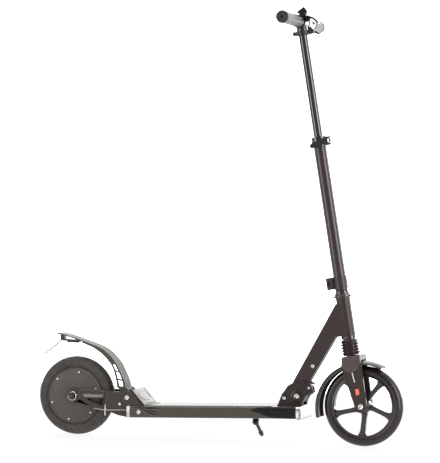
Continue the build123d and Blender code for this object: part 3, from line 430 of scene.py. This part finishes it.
def reflector_mat():
    m = pmat("reflector_red_painted_glow", (0.75, 0.13, 0.05), 0.18, spec=0.6, coat=0.8, coat_rough=0.05, var=0.25, vscale=350, rvar=0.04, bump=0, edge=0)
    nt = m.node_tree
    nd, ln = nt.nodes, nt.links
    bs = nd["Principled BSDF"]
    vo = nd.new("ShaderNodeTexVoronoi")
    vo.inputs["Scale"].default_value = 620
    tc = nd.new("ShaderNodeTexCoord")
    ln.new(tc.outputs["Object"], vo.inputs["Vector"])
    bp = nd.new("ShaderNodeBump")
    bp.inputs["Strength"].default_value = 0.6
    bp.inputs["Distance"].default_value = 0.0003
    ln.new(vo.outputs["Distance"], bp.inputs["Height"])
    ln.new(bp.outputs["Normal"], bs.inputs["Normal"])
    # painted glow: the reflector emits a faint red light of its own instead of only reflecting the lamps
    bs.inputs["Emission Color"].default_value = (0.9, 0.2, 0.08, 1)
    bs.inputs["Emission Strength"].default_value = 0.12
    return m


M["reflector"] = reflector_mat()


def lens_mat():
    m = pmat("display_lens", (0.012, 0.014, 0.016), 0.06, spec=0.8, coat=0.8, coat_rough=0.03, var=0.2, vscale=30, rvar=0.02, bump=0)
    return m


M["lens"] = lens_mat()

# every CAD node gets a material; detailed pieces replace many of them further down
CAD_MAT = {
    "deck_extrusion": "decksat", "grip_tape": "tape", "front_end_cap": "alu", "folding_bracket": "satin_dark", "bracket_bolts": "steel",
    "rear_bracket": "satin", "rear_arms": "satin", "heel_plate": "satin", "fender_pivot_pin": "steel", "frame_screws": "steel",
    "battery_pack": "pack", "motor_controller": "alu", "charge_port": "plastic", "kickstand_mount": "satin", "kickstand_leg": "satin",
    "motor_axle": "steel", "motor_stator": "copper", "axle_nuts": "steel", "motor_shell": "satin", "motor_covers": "cover",
    "hub_bearings": "steel", "cover_screws": "steel", "rear_tyre": "tyre", "rear_fender": "fender", "brake_pad": "plastic",
    "mudflap": "boot", "neck_tube": "satin", "neck_screws": "steel", "head_tube": "satin", "headset_cups": "gloss",
    "latch_lever": "gloss", "lower_stem": "stem", "headset_nut": "gloss", "grip_holder": "plastic", "height_clamp": "gloss",
    "clamp_bolt": "steel", "clamp_lever": "gloss", "fork": "satin", "front_fender": "ffender", "fork_reflectors": "reflector",
    "front_axle": "steel", "suspension_spring": "steel", "suspension_boot": "boot", "front_rim": "gplastic", "front_tyre": "pu",
    "front_bearings": "steel", "upper_stem": "gloss", "t_joint": "gloss", "t_clamp": "plastic", "display_unit": "gplastic",
    "power_button": "plastic", "throttle_lever": "gplastic", "brake_perch": "gplastic", "brake_lever": "plastic",
    "right_bar": "gloss", "left_bar": "gloss", "right_grip": "grip", "left_grip": "grip", "right_snap_button": "steel",
    "left_snap_button": "steel",
}
CAD_BEVEL = {
    "folding_bracket": 0.8, "rear_bracket": 0.8, "rear_arms": 0.8, "heel_plate": 0.5, "neck_tube": 0.0, "grip_holder": 0.6,
    "height_clamp": 0.6, "clamp_lever": 0.6, "fork": 0.9, "headset_cups": 0.4, "headset_nut": 0.5, "t_joint": 0.5, "t_clamp": 0.5,
    "latch_lever": 0.5, "brake_perch": 0.5, "brake_lever": 0.5, "throttle_lever": 0.5, "display_unit": 0.6, "power_button": 0.4,
    "kickstand_mount": 0.5, "kickstand_leg": 0.5, "motor_covers": 0.5, "front_end_cap": 0.3, "brake_pad": 0.5, "mudflap": 0.3,
    "charge_port": 0.3, "rear_fender": 0.5, "front_fender": 0.4, "motor_controller": 0.5, "battery_pack": 0.5,
}
for nm, ob in NODES.items():
    me = ob.data
    me.materials.clear()
    me.materials.append(M[CAD_MAT[nm]])
    for p in me.polygons:
        p.material_index = 0
    w = CAD_BEVEL.get(nm, 0.0)
    if w:
        if me.attributes.get("custom_normal"):
            me.attributes.remove(me.attributes["custom_normal"])
        me.shade_smooth()
        add_bevel(ob, w, weld=True)


# ------------------------------------------------------------------ stage, light and camera
def stage_mat(name, emit, albedo):
    m = bpy.data.materials.new(name)
    m.use_nodes = True
    bs = m.node_tree.nodes["Principled BSDF"]
    bs.inputs["Base Color"].default_value = (albedo, albedo, albedo, 1)
    bs.inputs["Roughness"].default_value = 0.9
    bs.inputs["Specular IOR Level"].default_value = 0.1
    bs.inputs["Emission Color"].default_value = (1, 1, 1, 1)
    bs.inputs["Emission Strength"].default_value = emit
    return m


bm = bmesh.new()
prof = [(-9.0, 0.0)]
prof += [(1.4 + 1.6 * math.sin(a), 1.6 - 1.6 * math.cos(a)) for a in [math.radians(k * 6) for k in range(0, 16)]]
prof += [(3.0, 6.5)]
for i in range(len(prof) - 1):
    a, b = prof[i], prof[i + 1]
    vs = [bm.verts.new((sx, p[0], p[1])) for p, sx in ((a, -7), (a, 7), (b, 7), (b, -7))]
    bm.faces.new(vs)
bmesh.ops.remove_doubles(bm, verts=bm.verts, dist=1e-5)
bmesh.ops.recalc_face_normals(bm, faces=bm.faces)
me = bpy.data.meshes.new("studio_sweep")
bm.to_mesh(me)
bm.free()
me.shade_smooth()
floor = bpy.data.objects.new("studio_sweep", me)
bpy.context.scene.collection.objects.link(floor)
me.materials.append(stage_mat("studio_white", 0.86, 0.08))
me.materials.append(stage_mat("studio_back", 3.1, 0.2))
for p in me.polygons:
    if p.center.y > 1.5:
        p.material_index = 1

world = bpy.data.worlds.new("studio")
bpy.context.scene.world = world
world.use_nodes = True
bg = world.node_tree.nodes["Background"]
bg.inputs["Color"].default_value = (1, 1, 1, 1)
bg.inputs["Strength"].default_value = 0.22


def softbox(name, pos, target, size, size_y, power):
    li = bpy.data.lights.new(name, "AREA")
    li.shape = "RECTANGLE"
    li.size, li.size_y = size, size_y
    li.energy = power
    ob = bpy.data.objects.new(name, li)
    ob.location = pos
    ob.rotation_mode = "QUATERNION"
    ob.rotation_quaternion = (Vector(target) - Vector(pos)).to_track_quat("-Z", "Y")
    bpy.context.scene.collection.objects.link(ob)
    return ob


# radiance of an area light is power / (4 pi^2 ... ) per area; powers below were set against the render
softbox("left_box", (-1.95, -2.5, 1.1), (0, 0, 0.6), 1.4, 2.6, 48)
softbox("right_box", (2.9, -1.1, 1.1), (0, 0, 0.6), 1.4, 2.6, 70)
softbox("top_box", (0.0, -0.6, 3.4), (0, 0, 0.3), 3.0, 2.0, 60)

A, E, ROLL = math.radians(16), math.radians(0.654), math.radians(0.958)
FPX, DIST = 2580.1, 6500.0
look = Vector((XR + 372.3, 0, 525.5))
fw = Vector((-math.sin(A) * math.cos(E), math.cos(A) * math.cos(E), -math.sin(E)))
rt = Vector((math.cos(A), math.sin(A), 0))
up = rt.cross(fw)
cx = rt * math.cos(ROLL) + up * math.sin(ROLL)
cy = -rt * math.sin(ROLL) + up * math.cos(ROLL)
pos = (look - fw * DIST) / 1000
cam_data = bpy.data.cameras.new("camera")
cam_data.lens = FPX * 36.0 / 463.0
cam_data.sensor_width = 36.0
cam_data.clip_start, cam_data.clip_end = 0.1, 60
cam = bpy.data.objects.new("camera", cam_data)
cam.matrix_world = Matrix(((cx.x, cy.x, -fw.x, pos.x), (cx.y, cy.y, -fw.y, pos.y), (cx.z, cy.z, -fw.z, pos.z), (0, 0, 0, 1)))
bpy.context.scene.collection.objects.link(cam)
bpy.context.scene.camera = cam
bpy.context.scene.view_settings.view_transform = "Standard"

# ------------------------------------------------------------------ wheels
def wheel_profile(bm, prof, m, n, mod=None):
    """Closed lathe whose points may be moved by mod(k, radius, height)."""
    verts, rows = [], []
    for r, t in prof:
        rows.append(list(range(len(verts), len(verts) + n)))
        for k in range(n):
            rr, tt = mod(k, r, t) if mod else (r, t)
            verts.append((rr * math.cos(2 * math.pi * k / n), rr * math.sin(2 * math.pi * k / n), tt))
    faces = []
    for a, b in list(zip(rows, rows[1:])) + [(rows[-1], rows[0])]:
        faces += [[a[k], a[(k + 1) % n], b[(k + 1) % n], b[k]] for k in range(n)]
    put(bm, verts, faces, m)


def mirror_prof(half):
    return half + [(r, -t) for r, t in half[::-1] if t != 0]


bm = bmesh.new()
half = [(72.1, -19.9), (73.2, -20.6), (74.0, -20.3), (75.2, -21.3), (78.5, -22.2), (83.0, -22.5), (86.0, -22.3), (86.6, -21.7),
        (87.4, -21.9), (90.2, -20.9), (92.8, -19.0), (95.2, -16.2), (97.0, -13.0), (98.2, -9.6), (98.5, -8.6), (97.5, -8.1),
        (97.5, -7.1), (98.9, -6.6), (99.55, -3.8), (99.93, -1.2)]


def tyre_mod(k, r, t):
    if 12.5 < abs(t) < 20 and r > 91 and k % 8 < 2:
        r -= 0.9
    return r, t


wheel_profile(bm, mirror_prof(half), RW_AX, 192, tyre_mod)
finish_obj("rear_tyre_tread", bm, M["tyre"], "rear_wheel", ["rear_tyre"], sharp=50)

bm = bmesh.new()
half = [(78.05, -12.9), (79.5, -13.9), (81.0, -14.5), (84.5, -15.0), (88.5, -14.7), (91.6, -13.5), (94.6, -11.1), (97.1, -7.9),
        (98.9, -4.2), (99.75, -1.5), (99.93, 0)]
wheel_profile(bm, mirror_prof(half), FW_AX, 192)
finish_obj("front_tyre_round", bm, M["pu"], "front_wheel", ["front_tyre"], sharp=50)

# spoked rim: turned ring and hub, five flared spokes with a raised spine
bm = bmesh.new()
half = [(72.6, -12.4), (73.4, -13.0), (77.2, -13.0), (78.0, -12.4)]
wheel_profile(bm, [(73.7, -12.4), (74.3, -13.0), (77.4, -13.0), (78.0, -12.5), (78.0, 12.5), (77.4, 13.0), (74.3, 13.0), (73.7, 12.4),
                   (73.3, 9.5), (73.1, 0), (73.3, -9.5)], FW_AX, 160)
wheel_profile(bm, [(11.0, -16.4), (15.5, -16.4), (17.2, -15.2), (18.4, -12.0), (19.2, -8.0), (19.2, 8.0), (18.4, 12.0), (17.2, 15.2),
                   (15.5, 16.4), (11.0, 16.4)], FW_AX, 96)
finish_obj("front_rim_ring", bm, M["gplastic"], "front_wheel", ["front_rim"], sharp=40)
bm = bmesh.new()
for k in range(5):
    a = math.radians(55 + 72 * k)
    ca, sa = math.cos(a), math.sin(a)
    rad = Vector((ca, 0, sa))
    tan_ = Vector((-sa, 0, ca))
    m = axes((XR + WB, 0, 100), rad, tan_, Y)
    edge = smooth_curve([(17.5, 8.2), (26, 6.4), (40, 6.1), (55, 6.3), (63, 7.2), (69.0, 9.4), (74.0, 14.0)], 5)
    up_ = [(p.x, p.y + (45 - p.x) * 0.11) for p in edge]
    lo_ = [(p.x, -p.y + (45 - p.x) * 0.11) for p in edge]
    prism(bm, up_ + lo_[::-1], -6.5, 6.5, m)
finish_obj("front_spokes", bm, M["gplastic"], "front_wheel", (), bevel=1.6, segs=3, angle=40)
bm = bmesh.new()
for k in range(5):
    a = math.radians(55 + 72 * k)
    rad, tan_ = Vector((math.cos(a), 0, math.sin(a))), Vector((-math.sin(a), 0, math.cos(a)))
    m = axes((XR + WB, 0, 100), rad, tan_, Y)
    sp = [(18, 3.4), (30, 2.4), (50, 2.4), (64, 3.0), (73.6, 4.6)]
    prism(bm, [(x, y + (45 - x) * 0.11) for x, y in sp] + [(x, -y + (45 - x) * 0.11) for x, y in sp[::-1]], -9.2, 9.2, m)
finish_obj("front_spoke_ribs", bm, M["gplastic"], "front_wheel", (), bevel=1.1, segs=3, angle=40)

# bearing shields and hub caps of the front wheel stay as CAD; axle with domed nuts replaces the plain one
bm = bmesh.new()
AXC = (11.8, 99.4)
rod(bm, STEM, AXC, -41, 41, 5.0)
bolt_head(bm, STEM, AXC, -37.0, -1, 7.6, 5.2, 3.2)
bolt_head(bm, STEM, AXC, 37.0, 1, 7.6, 5.2, 3.2)
for y0, y1 in ((-28, -17), (17, 28)):
    lathe(bm, [(5.0, y0), (8.0, y0), (8.0, y1), (5.0, y1)], STEM @ Matrix.Translation((AXC[0], AXC[1], 0)), 40)
finish_obj("front_axle_set", bm, M["steel"], "front_fork", ["front_axle"], sharp=32)

# hub motor: small domed cover screws, oxide axle and nuts, bright flanged washers
bm = bmesh.new()
for sgn in (-1, 1):
    for k in range(6):
        a = math.radians(18 + 60 * k)
        bolt_head(bm, SIDE, (61 * math.cos(a), 100 + 61 * math.sin(a)), sgn * 28.05, sgn, 3.4, 3.2, 1.7, 24)
finish_obj("cover_screw_heads", bm, M["steel"], "rear_wheel", ["cover_screws"], sharp=32)
bm = bmesh.new()
for sgn in (-1, 1):
    ring = [(8.6 + 0.0, 40.0), (11.2, 40.0), (12.0, 40.8), (12.0, 42.2), (11.2, 43.6), (9.8, 44.2), (8.6, 43.4)]
    lathe(bm, [(r, sgn * t) for r, t in ring], SIDE @ Matrix.Translation((0, 100, 0)), 64)
finish_obj("axle_washers", bm, M["steel"], "deck", (), sharp=50)
bm = bmesh.new()
for sgn in (-1, 1):
    hex_nut(bm, SIDE, (0, 100), sgn * 41.0, sgn, 8.4, 8.2, 5.2)
    lathe(bm, [(0, sgn * 41), (5.2, sgn * 41), (5.2, sgn * 51), (4.4, sgn * 51.9), (0, sgn * 51.9)],
          SIDE @ Matrix.Translation((0, 100, 0)), 40, closed=False)
finish_obj("axle_nut_set", bm, M["oxide"], "deck", ["axle_nuts"], sharp=32)
NODES["motor_axle"].data.materials[0] = M["oxide"]

# ------------------------------------------------------------------ rear frame
# lighter bar on each arm: its light grey is painted light for the lit upper face of the arm; the bar leans outwards at
# its foot so that it faces the sky a little
bm = bmesh.new()
for sgn in (-1, 1):
    lo = [(34, 99.5), (83, 100.2)]
    hi = [(21, 116.6), (60, 117.8), (87, 115.6)]
    vs = [(34, 98.2, sgn * 39.9), (84, 99.2, sgn * 39.9), (87, 116, sgn * 39.9), (60, 118.2, sgn * 39.9), (19, 116.8, sgn * 39.9),
          (34, 98.2, sgn * 44.4), (84, 99.2, sgn * 44.4), (87, 116, sgn * 41.2), (60, 118.2, sgn * 41.2), (19, 116.8, sgn * 41.2)]
    put(bm, vs, [[0, 1, 2, 3, 4], [9, 8, 7, 6, 5], [0, 1, 6, 5], [1, 2, 7, 6], [2, 3, 8, 7], [3, 4, 9, 8], [4, 0, 5, 9]], SIDE)
finish_obj("arm_bars", bm, M["armgrey"], "deck", (), bevel=0.7, segs=2, angle=20)

# screws of the deck, blocks and fender pivot
bm = bmesh.new()
for sgn, y in ((-1, -62.0), (1, 62.0)):
    z = 67 + (184 - 152) * SD / CD + 15 / CD - 15.5
    bolt_head(bm, SIDE, (184, z), y, sgn, 6.0, 3.4, 3.1)
for sgn in (-1, 1):
    rod(bm, SIDE, (131, 85), sgn * 40, sgn * 52.2, 2.45)
    bolt_head(bm, SIDE, (131, 85), sgn * 52.0, sgn, 4.2, 2.6, 2.0)
finish_obj("frame_screw_set", bm, M["steel"], "deck", ["frame_screws"], sharp=32)
bm = bmesh.new()
rod(bm, SIDE, (151, 102), -56, 56, 3.98)
for sgn in (-1, 1):
    bolt_head(bm, SIDE, (151, 102), sgn * 56.0, sgn, 6.6, 3.5, 3.0)
finish_obj("fender_pivot_set", bm, M["steel"], "deck", ["fender_pivot_pin"], sharp=32)

# bright spring pin and its wire behind each block
bm = bmesh.new()
for sgn in (-1, 1):
    tube(bm, [(93, 54.5, sgn * 53.9), (93, 60, sgn * 53.9), (93, 76, sgn * 53.9), (93, 82.5, sgn * 53.9)], [1.2, 1.75, 1.75, 1.2], SIDE, 16)
    tube(bm, [(p.x, p.y, sgn * 53.2) for p in smooth_curve([(62, 72), (80, 69.6), (95, 68.6), (120, 69.6), (140, 70.5), (152, 70.2)], 4)], 0.65, SIDE, 10)
finish_obj("fender_spring_wire", bm, M["steel"], "deck", (), sharp=40)


# ------------------------------------------------------------------ deck dressing
def skin_y(n, off):
    """Half-width of the deck's side at height n, with an outward offset."""
    r, h, w = 8.0, 15.0, 62.0
    if abs(n) <= h - r:
        return w + off, n
    a = math.asin(min(1.0, (abs(n) - (h - r)) / r))
    return w - r + (r + off) * math.cos(a), math.copysign(h - r + (r + off) * math.sin(a), n)


def side_skin(bm, cols, sgn, off0=0.02, off1=0.30, rows=12):
    """Thin skin on a deck side between columns of (d, low n, high n)."""
    grids = []
    for off in (off0, off1):
        g = []
        for d, lo, hi in cols:
            g.append([(d, skin_y(lo + (hi - lo) * j / rows, off)[1], sgn * skin_y(lo + (hi - lo) * j / rows, off)[0]) for j in range(rows + 1)])
        grids.append(g)
    verts = [v for g in grids for c in g for v in c]
    nc, nr = len(cols), rows + 1

    def ix(l, i, j):
        return l * nc * nr + i * nr + j
    faces = []
    for i in range(nc - 1):
        for j in range(rows):
            faces.append([ix(0, i, j), ix(0, i + 1, j), ix(0, i + 1, j + 1), ix(0, i, j + 1)])
            faces.append([ix(1, i, j), ix(1, i, j + 1), ix(1, i + 1, j + 1), ix(1, i + 1, j)])
        for j in (0, rows):
            faces.append([ix(0, i, j), ix(0, i + 1, j), ix(1, i + 1, j), ix(1, i, j)])
    for i in (0, nc - 1):
        for j in range(rows):
            faces.append([ix(0, i, j), ix(0, i, j + 1), ix(1, i, j + 1), ix(1, i, j)])
    put(bm, verts, faces, DECK)


def resample(cols, n):
    """Cols (d, lo, hi) smoothed with a Catmull-Rom through them."""
    pts = smooth_curve([(c[0], c[1], c[2]) for c in cols], n)
    return [(p.x, p.y, p.z) for p in pts]


TRIM = [(325, 4.6, 5.0), (333, 2.4, 9.4), (342, 0.4, 12.2), (351, -2.6, 13.3), (362, -7.0, 13.9), (376, -10.9, 14.3),
        (396, -13.4, 14.5), (420, -14.6, 14.6), (439.6, -14.8, 14.7)]
bm = bmesh.new()
for sgn in (-1, 1):
    side_skin(bm, resample(TRIM, 4), sgn, 0.02, 0.55, 16)
finish_obj("deck_side_trims", bm, M["decal"], "deck", (), sharp=30)


WAVES = [[(28, -1.5, 0.3), (33, 4.5, 0.9), (40, 8.4, 1.3), (50, 9.8, 2.0), (58, 9.7, 2.5), (70, 9.5, 2.4), (80, 9.3, 2.0), (87.6, 9.2, 1.3)],
         [(38, 5.3, 0.3), (45, 4.7, 1.0), (52, 2.2, 1.8), (60, -1.4, 2.1), (68, -4.7, 1.9), (76, -7.0, 1.3), (83, -8.4, 0.4)],
         [(52, 6.6, 0.3), (60, 5.0, 0.9), (70, 2.0, 1.3), (80, -0.8, 0.9), (86, -2.2, 0.3)],
         [(20, 10.8, 0.3), (28, 11.2, 0.8), (38, 12.2, 0.9), (46, 12.9, 0.3)]]
bm = bmesh.new()
bm2 = bmesh.new()
for sgn in (-1, 1):
    for w in WAVES:
        pts = smooth_curve(w, 5)
        side_skin(bm, [(p.x, p.y - p.z, p.y + p.z) for p in pts], sgn, 0.02, 0.24, 8)
    # thin light lines just under the first two stripes: painted glare
    for w in WAVES[:2]:
        pts = smooth_curve(w, 5)
        side_skin(bm2, [(p.x, p.y - p.z - 1.15, p.y - p.z - 0.35) for p in pts], sgn, 0.02, 0.22, 3)
finish_obj("deck_wave_stripes", bm, M["decal"], "deck", (), sharp=30)
finish_obj("deck_wave_glare_lines", bm2, M["glare"], "deck", (), sharp=30)

# bright joint strip at the rear of each side, with a dark split line
bm = bmesh.new()
for sgn in (-1, 1):
    side_skin(bm, [(1.0, -14.4, -4.2), (9.0, -14.4, -4.2)], sgn, 0.02, 0.8, 8)
    side_skin(bm, [(1.0, -3.2, 14.2), (9.0, -3.2, 14.2)], sgn, 0.02, 0.8, 12)
finish_obj("deck_joint_strips", bm, M["alu"], "deck", (), sharp=30)

# bright front cap with dark corner strips and a small lip underneath
bm = bmesh.new()


def rrect(w, h, r, n=6):
    return rounded([(-w / 2, -h / 2), (w / 2, -h / 2), (w / 2, h / 2), (-w / 2, h / 2)], r, n)


CAPM = axes((XR + 152, 0, 67), Y, DN, DX)   # local (y, above the mid-line, along the deck)
rows = []
verts = []
for w, h, r, d in ((123.6, 29.6, 7.8, 440.0), (123.6, 29.6, 7.8, 449.5), (122.4, 28.4, 7.2, 451.2), (119.4, 25.4, 6.0, 452.0), (100, 14, 3.0, 451.4)):
    o = rrect(w, h, r)
    rows.append(list(range(len(verts), len(verts) + len(o))))
    verts += [(a, b, d) for a, b in o]
n = len(rows[0])
faces = [rows[0][::-1], rows[-1]]
for a, b in zip(rows, rows[1:]):
    faces += [[a[k], a[(k + 1) % n], b[(k + 1) % n], b[k]] for k in range(n)]
put(bm, verts, faces, CAPM)
finish_obj("front_cap_cast", bm, M["capalu"], "deck", ["front_end_cap"], bevel=0.4, angle=40)
bm = bmesh.new()
for sgn in (-1, 1):
    side_skin(bm, [(448.6, -12.4, 12.0), (451.0, -12.0, 11.6)], sgn, -0.6, 0.25, 10)
    side_skin(bm, [(440.1, -13.6, 13.4), (441.0, -13.6, 13.4)], sgn, -0.6, 0.15, 10)
finish_obj("front_cap_gaskets", bm, M["boot"], "deck", (), sharp=30)
bm = bmesh.new()
prism(bm, rounded([(441.5, -14.6), (452.0, -14.4), (451.0, -18.2), (443.0, -18.2)], 1.0, 3), -60, 60, DECK)
finish_obj("front_cap_lip", bm, M["liplight"], "deck", (), bevel=0.4, angle=40)

# crowned pad on the heel plate, with a raised oval; its light grey is painted light for the lit face of the plate
p0, p1 = Vector((161.6, 121.3)), Vector((194.6, 67 + (194.6 - 152) * SD / CD + 15 / CD + 2.0))
dirv = (p1 - p0).normalized()
nrm = Vector((-dirv.y, dirv.x)) if dirv.x * 0 - dirv.y > 0 else Vector((dirv.y, -dirv.x))
LP = (p1 - p0).length


def crown(t, y):
    """Height of the pad above the plate at t along it (0..1) and y."""
    e = min(1.0, min(t, 1 - t) * LP / 3.0)
    return 0.25 + 3.2 * (1 - (y / 52.0) ** 2) * math.sin(e * math.pi / 2) ** 0.6


bm = bmesh.new()
nt, ny = 25, 41
verts = []
for lay in (0, 1):
    for i in range(nt):
        for j in range(ny):
            t, y = i / (nt - 1), -51.6 + 103.2 * j / (ny - 1)
            q = p0 + dirv * (t * LP) + nrm * (crown(t, y) if lay else -1.2)
            verts.append((q.x, q.y, y))


def gi(l, i, j):
    return l * nt * ny + i * ny + j


faces = []
for i in range(nt - 1):
    for j in range(ny - 1):
        faces.append([gi(1, i, j), gi(1, i + 1, j), gi(1, i + 1, j + 1), gi(1, i, j + 1)])
        faces.append([gi(0, i, j), gi(0, i, j + 1), gi(0, i + 1, j + 1), gi(0, i + 1, j)])
    for j in (0, ny - 1):
        faces.append([gi(0, i, j), gi(0, i + 1, j), gi(1, i + 1, j), gi(1, i, j)])
for j in range(ny - 1):
    for i in (0, nt - 1):
        faces.append([gi(0, i, j), gi(0, i, j + 1), gi(1, i, j + 1), gi(1, i, j)])
put(bm, verts, faces, SIDE)
finish_obj("heel_pad", bm, M["heel"], "deck", (), sharp=50)
bm = bmesh.new()
ov = []
for k in range(64):
    a = 2 * math.pi * k / 64
    t, y = 0.5 + 0.30 * math.cos(a), 36 * math.sin(a)
    q = p0 + dirv * (t * LP) + nrm * (crown(t, y) + 0.1)
    ov.append((q.x, q.y, y))
tube(bm, ov + [ov[0]], 0.55, SIDE, 8, closed_ends=False)
finish_obj("heel_pad_oval", bm, M["plastic"], "deck", (), sharp=60)

# ------------------------------------------------------------------ folding bracket, neck and steering details
bm = bmesh.new()
rod(bm, SIDE, (585, 119), -26.4, 26.4, 3.98)
rod(bm, SIDE, (616, 141), -26.4, 26.4, 2.48)
for sgn in (-1, 1):
    bolt_head(bm, SIDE, (585, 119), sgn * 27.6, sgn, 6.8, 3.4, 3.2)
    bolt_head(bm, SIDE, (616, 141), sgn * 26.4, sgn, 3.2, 1.6, 1.4, 24)
    rod(bm, SIDE, (553, 113), sgn * 18.6, sgn * 26.6, 2.95)
    bolt_head(bm, SIDE, (553, 113), sgn * 26.45, sgn, 4.8, 2.9, 2.2)
finish_obj("bracket_screw_set", bm, M["steel"], "deck", ["bracket_bolts"], sharp=32)
bm = bmesh.new()
for sgn in (-1, 1):
    mm = SIDE @ Matrix.Translation((585, 119, 0))
    lathe(bm, [(0, sgn * 26.3), (15.5, sgn * 26.3), (15.5, sgn * 27.2), (14.4, sgn * 27.7), (0, sgn * 27.7)], mm, 64, closed=False)
finish_obj("bracket_bosses", bm, M["satin_dark"], "deck", (), sharp=40)
bm = bmesh.new()
rod(bm, SIDE, (623, 195), -18, 18, 2.95)
for sgn in (-1, 1):
    bolt_head(bm, SIDE, (623, 195), sgn * 17.95, sgn, 5.2, 3.1, 2.4)
finish_obj("neck_screw_set", bm, M["steel"], "neck", ["neck_screws"], sharp=32)

# weld bead where the neck plates meet the head tube
bm = bmesh.new()
for sgn in (-1, 1):
    pts = []
    for i in range(40):
        s_ = 284 + (356 - 284) * i / 39
        pts.append((-6.9 + 0.25 * math.sin(i * 2.1), s_, sgn * 16.9))
    tube(bm, pts, [1.3 + 0.35 * math.sin(i * 1.9) for i in range(40)], STEM, 8)
finish_obj("neck_weld_beads", bm, M["satin"], "neck", (), sharp=60)

# cast bosses on the fork cheeks, in a lighter copy of the fork paint that is painted light for the lit crown, and the
# bright inlays in the leg slots
bm = bmesh.new()
for sgn in (-1, 1):
    out = rounded([(-16.6, 226.6, 2.5), (-18.2, 213, 3), (-20.6, 204, 6), (-12.0, 189, 14), (6.0, 184.5, 16), (20.5, 193, 14), (27.8, 206, 6), (28.1, 226.6, 2.5)], 4, 6)
    prism(bm, out, sgn * 36.5, sgn * 38.9, STEM)
finish_obj("fork_cheek_bosses", bm, M["crown"], "front_fork", (), bevel=1.8, segs=4, angle=50)
bm = bmesh.new()
for sgn in (-1, 1):
    prism(bm, [(1.5, 193.0), (4.0, 193.4), (7.5, 162.0), (5.1, 161.6)], sgn * 36.0, sgn * 37.8, STEM)
finish_obj("fork_slot_inlays", bm, M["capalu"], "front_fork", (), bevel=0.3, segs=2, angle=40)
bm = bmesh.new()
for sgn in (-1, 1):
    prism(bm, rounded([(4.2, 128.7), (14.8, 128.7), (14.8, 145.3), (4.2, 145.3)], 2.6, 5), sgn * 36.9, sgn * 38.0, STEM)
finish_obj("reflector_frames", bm, M["boot"], "front_fork", (), bevel=0.4, segs=2, angle=40)

# rubber boot: sharp ribs
bm = bmesh.new()
prof = [(17.3, 228.3), (21.2, 228.3), (21.2, 230.0), (19.2, 230.6)]
for i in range(5):
    s0 = 230.6 + i * 7.2
    prof += [(19.2, s0 + 0.5), (22.5, s0 + 2.3), (26.2, s0 + 3.1), (26.6, s0 + 3.5), (26.2, s0 + 3.9), (22.5, s0 + 4.7), (19.2, s0 + 6.4)]
prof += [(19.2, 266.6), (20.6, 267.0), (20.6, 267.8), (17.3, 267.8)]
lathe(bm, prof, STEM_AX, 72)
ob = finish_obj("suspension_bellows", bm, M["boot"], None, ["suspension_boot"], sharp=60, ride=False)
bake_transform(ob)

# coil spring inside it
bm = bmesh.new()
pts = []
for i in range(141):
    t = i / 140
    a = 2 * math.pi * 6.0 * t
    pts.append((14.35 * math.cos(a), 14.35 * math.sin(a), 230.2 + 25.6 * t))
tube(bm, pts, 1.12, STEM_AX, 10)
ob = finish_obj("suspension_coil", bm, M["steel"], None, ["suspension_spring"], sharp=60, ride=False)
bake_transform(ob)


# ------------------------------------------------------------------ handlebar
def grip(name, node, body, sgn, y_in, y_out):
    """Ribbed rubber sleeve with a rolled flange and a domed end with a small hole."""
    bm = bmesh.new()
    n = 120
    prof = [(11.15, y_in), (14.4, y_in), (15.5, y_in + 0.8), (15.7, y_in + 2.6), (15.2, y_in + 4.2), (14.3, y_in + 6.0)]
    ribs0 = len(prof)
    k = 12
    for i in range(k + 1):
        prof.append((15.15, y_in + 7.5 + (y_out - 10.5 - y_in - 7.5) * i / k))
    ribs1 = len(prof)
    prof += [(14.6, y_out - 9.2), (15.1, y_out - 8.2), (15.9, y_out - 7.4), (16.0, y_out - 4.0), (15.6, y_out - 1.6), (14.4, y_out - 0.4),
             (12.0, y_out), (4.0, y_out), (3.4, y_out - 0.3), (2.6, y_out - 1.2), (2.4, y_out - 3.5), (11.15, y_out - 3.6)]
    verts, rows = [], []
    for i, (r, t) in enumerate(prof):
        rows.append(list(range(len(verts), len(verts) + n)))
        for j in range(n):
            rr = r
            if ribs0 <= i < ribs1:
                w = math.cos(14 * 2 * math.pi * j / n)
                rr = r - 0.95 * max(0.0, -w - 0.15) ** 0.7
            verts.append((rr * math.cos(2 * math.pi * j / n), rr * math.sin(2 * math.pi * j / n), sgn * t))
    faces = []
    for a, b in list(zip(rows, rows[1:])) + [(rows[-1], rows[0])]:
        faces += [[a[q], a[(q + 1) % n], b[(q + 1) % n], b[q]] for q in range(n)]
    put(bm, verts, faces, BAR_AX)
    return finish_obj(name, bm, M["grip"], body, [node], sharp=42)


grip("right_grip_ribbed", "right_grip", "right_handle", -1, 32.2, 189.8)
grip("left_grip_ribbed", "left_grip", "left_handle", 1, 94.2, 189.8)

# dark rubber ring at each end of the T
bm = bmesh.new()
lathe(bm, [(14.25, 29.0), (15.0, 29.0), (15.3, 29.6), (15.3, 32.0), (15.0, 32.6), (14.25, 32.6)], BAR_AX, 64)
lathe(bm, [(14.25, -29.0), (15.0, -29.0), (15.3, -29.6), (15.3, -31.6), (15.0, -32.0), (14.25, -32.0)], BAR_AX, 64)
finish_obj("t_joint_rings", bm, M["boot"], "handlebar", (), sharp=40)

# display: tinted lens with two bright bezel lines, on the upper face of the box
BA = math.radians(26.1) + T
bx = stem_pt(15.0, 1093.65, -27)
bn = Vector((-math.sin(BA), 0, math.cos(BA)))
bu = Vector((math.cos(BA), 0, math.sin(BA)))
DISP = axes(bx, bu, Y, bn)    # local (towards the front, y, out of the face)
bm = bmesh.new()
prism(bm, rounded([(-8.6, -9.0), (8.6, -9.0), (8.6, 22.5), (-8.6, 22.5)], 2.0, 5), -1.6, 0.45, DISP)
finish_obj("display_lens", bm, M["lens"], "handlebar", (), bevel=0.35, segs=2, angle=40)
bm = bmesh.new()
for yy in (-9.5, 22.9):
    prism(bm, rounded([(-7.0, yy - 0.35), (7.0, yy - 0.35), (7.0, yy + 0.35), (-7.0, yy + 0.35)], 0.0), -0.8, 0.6, DISP)
finish_obj("display_bezel_lines", bm, M["capalu"], "handlebar", (), bevel=0.12, segs=1, angle=40)
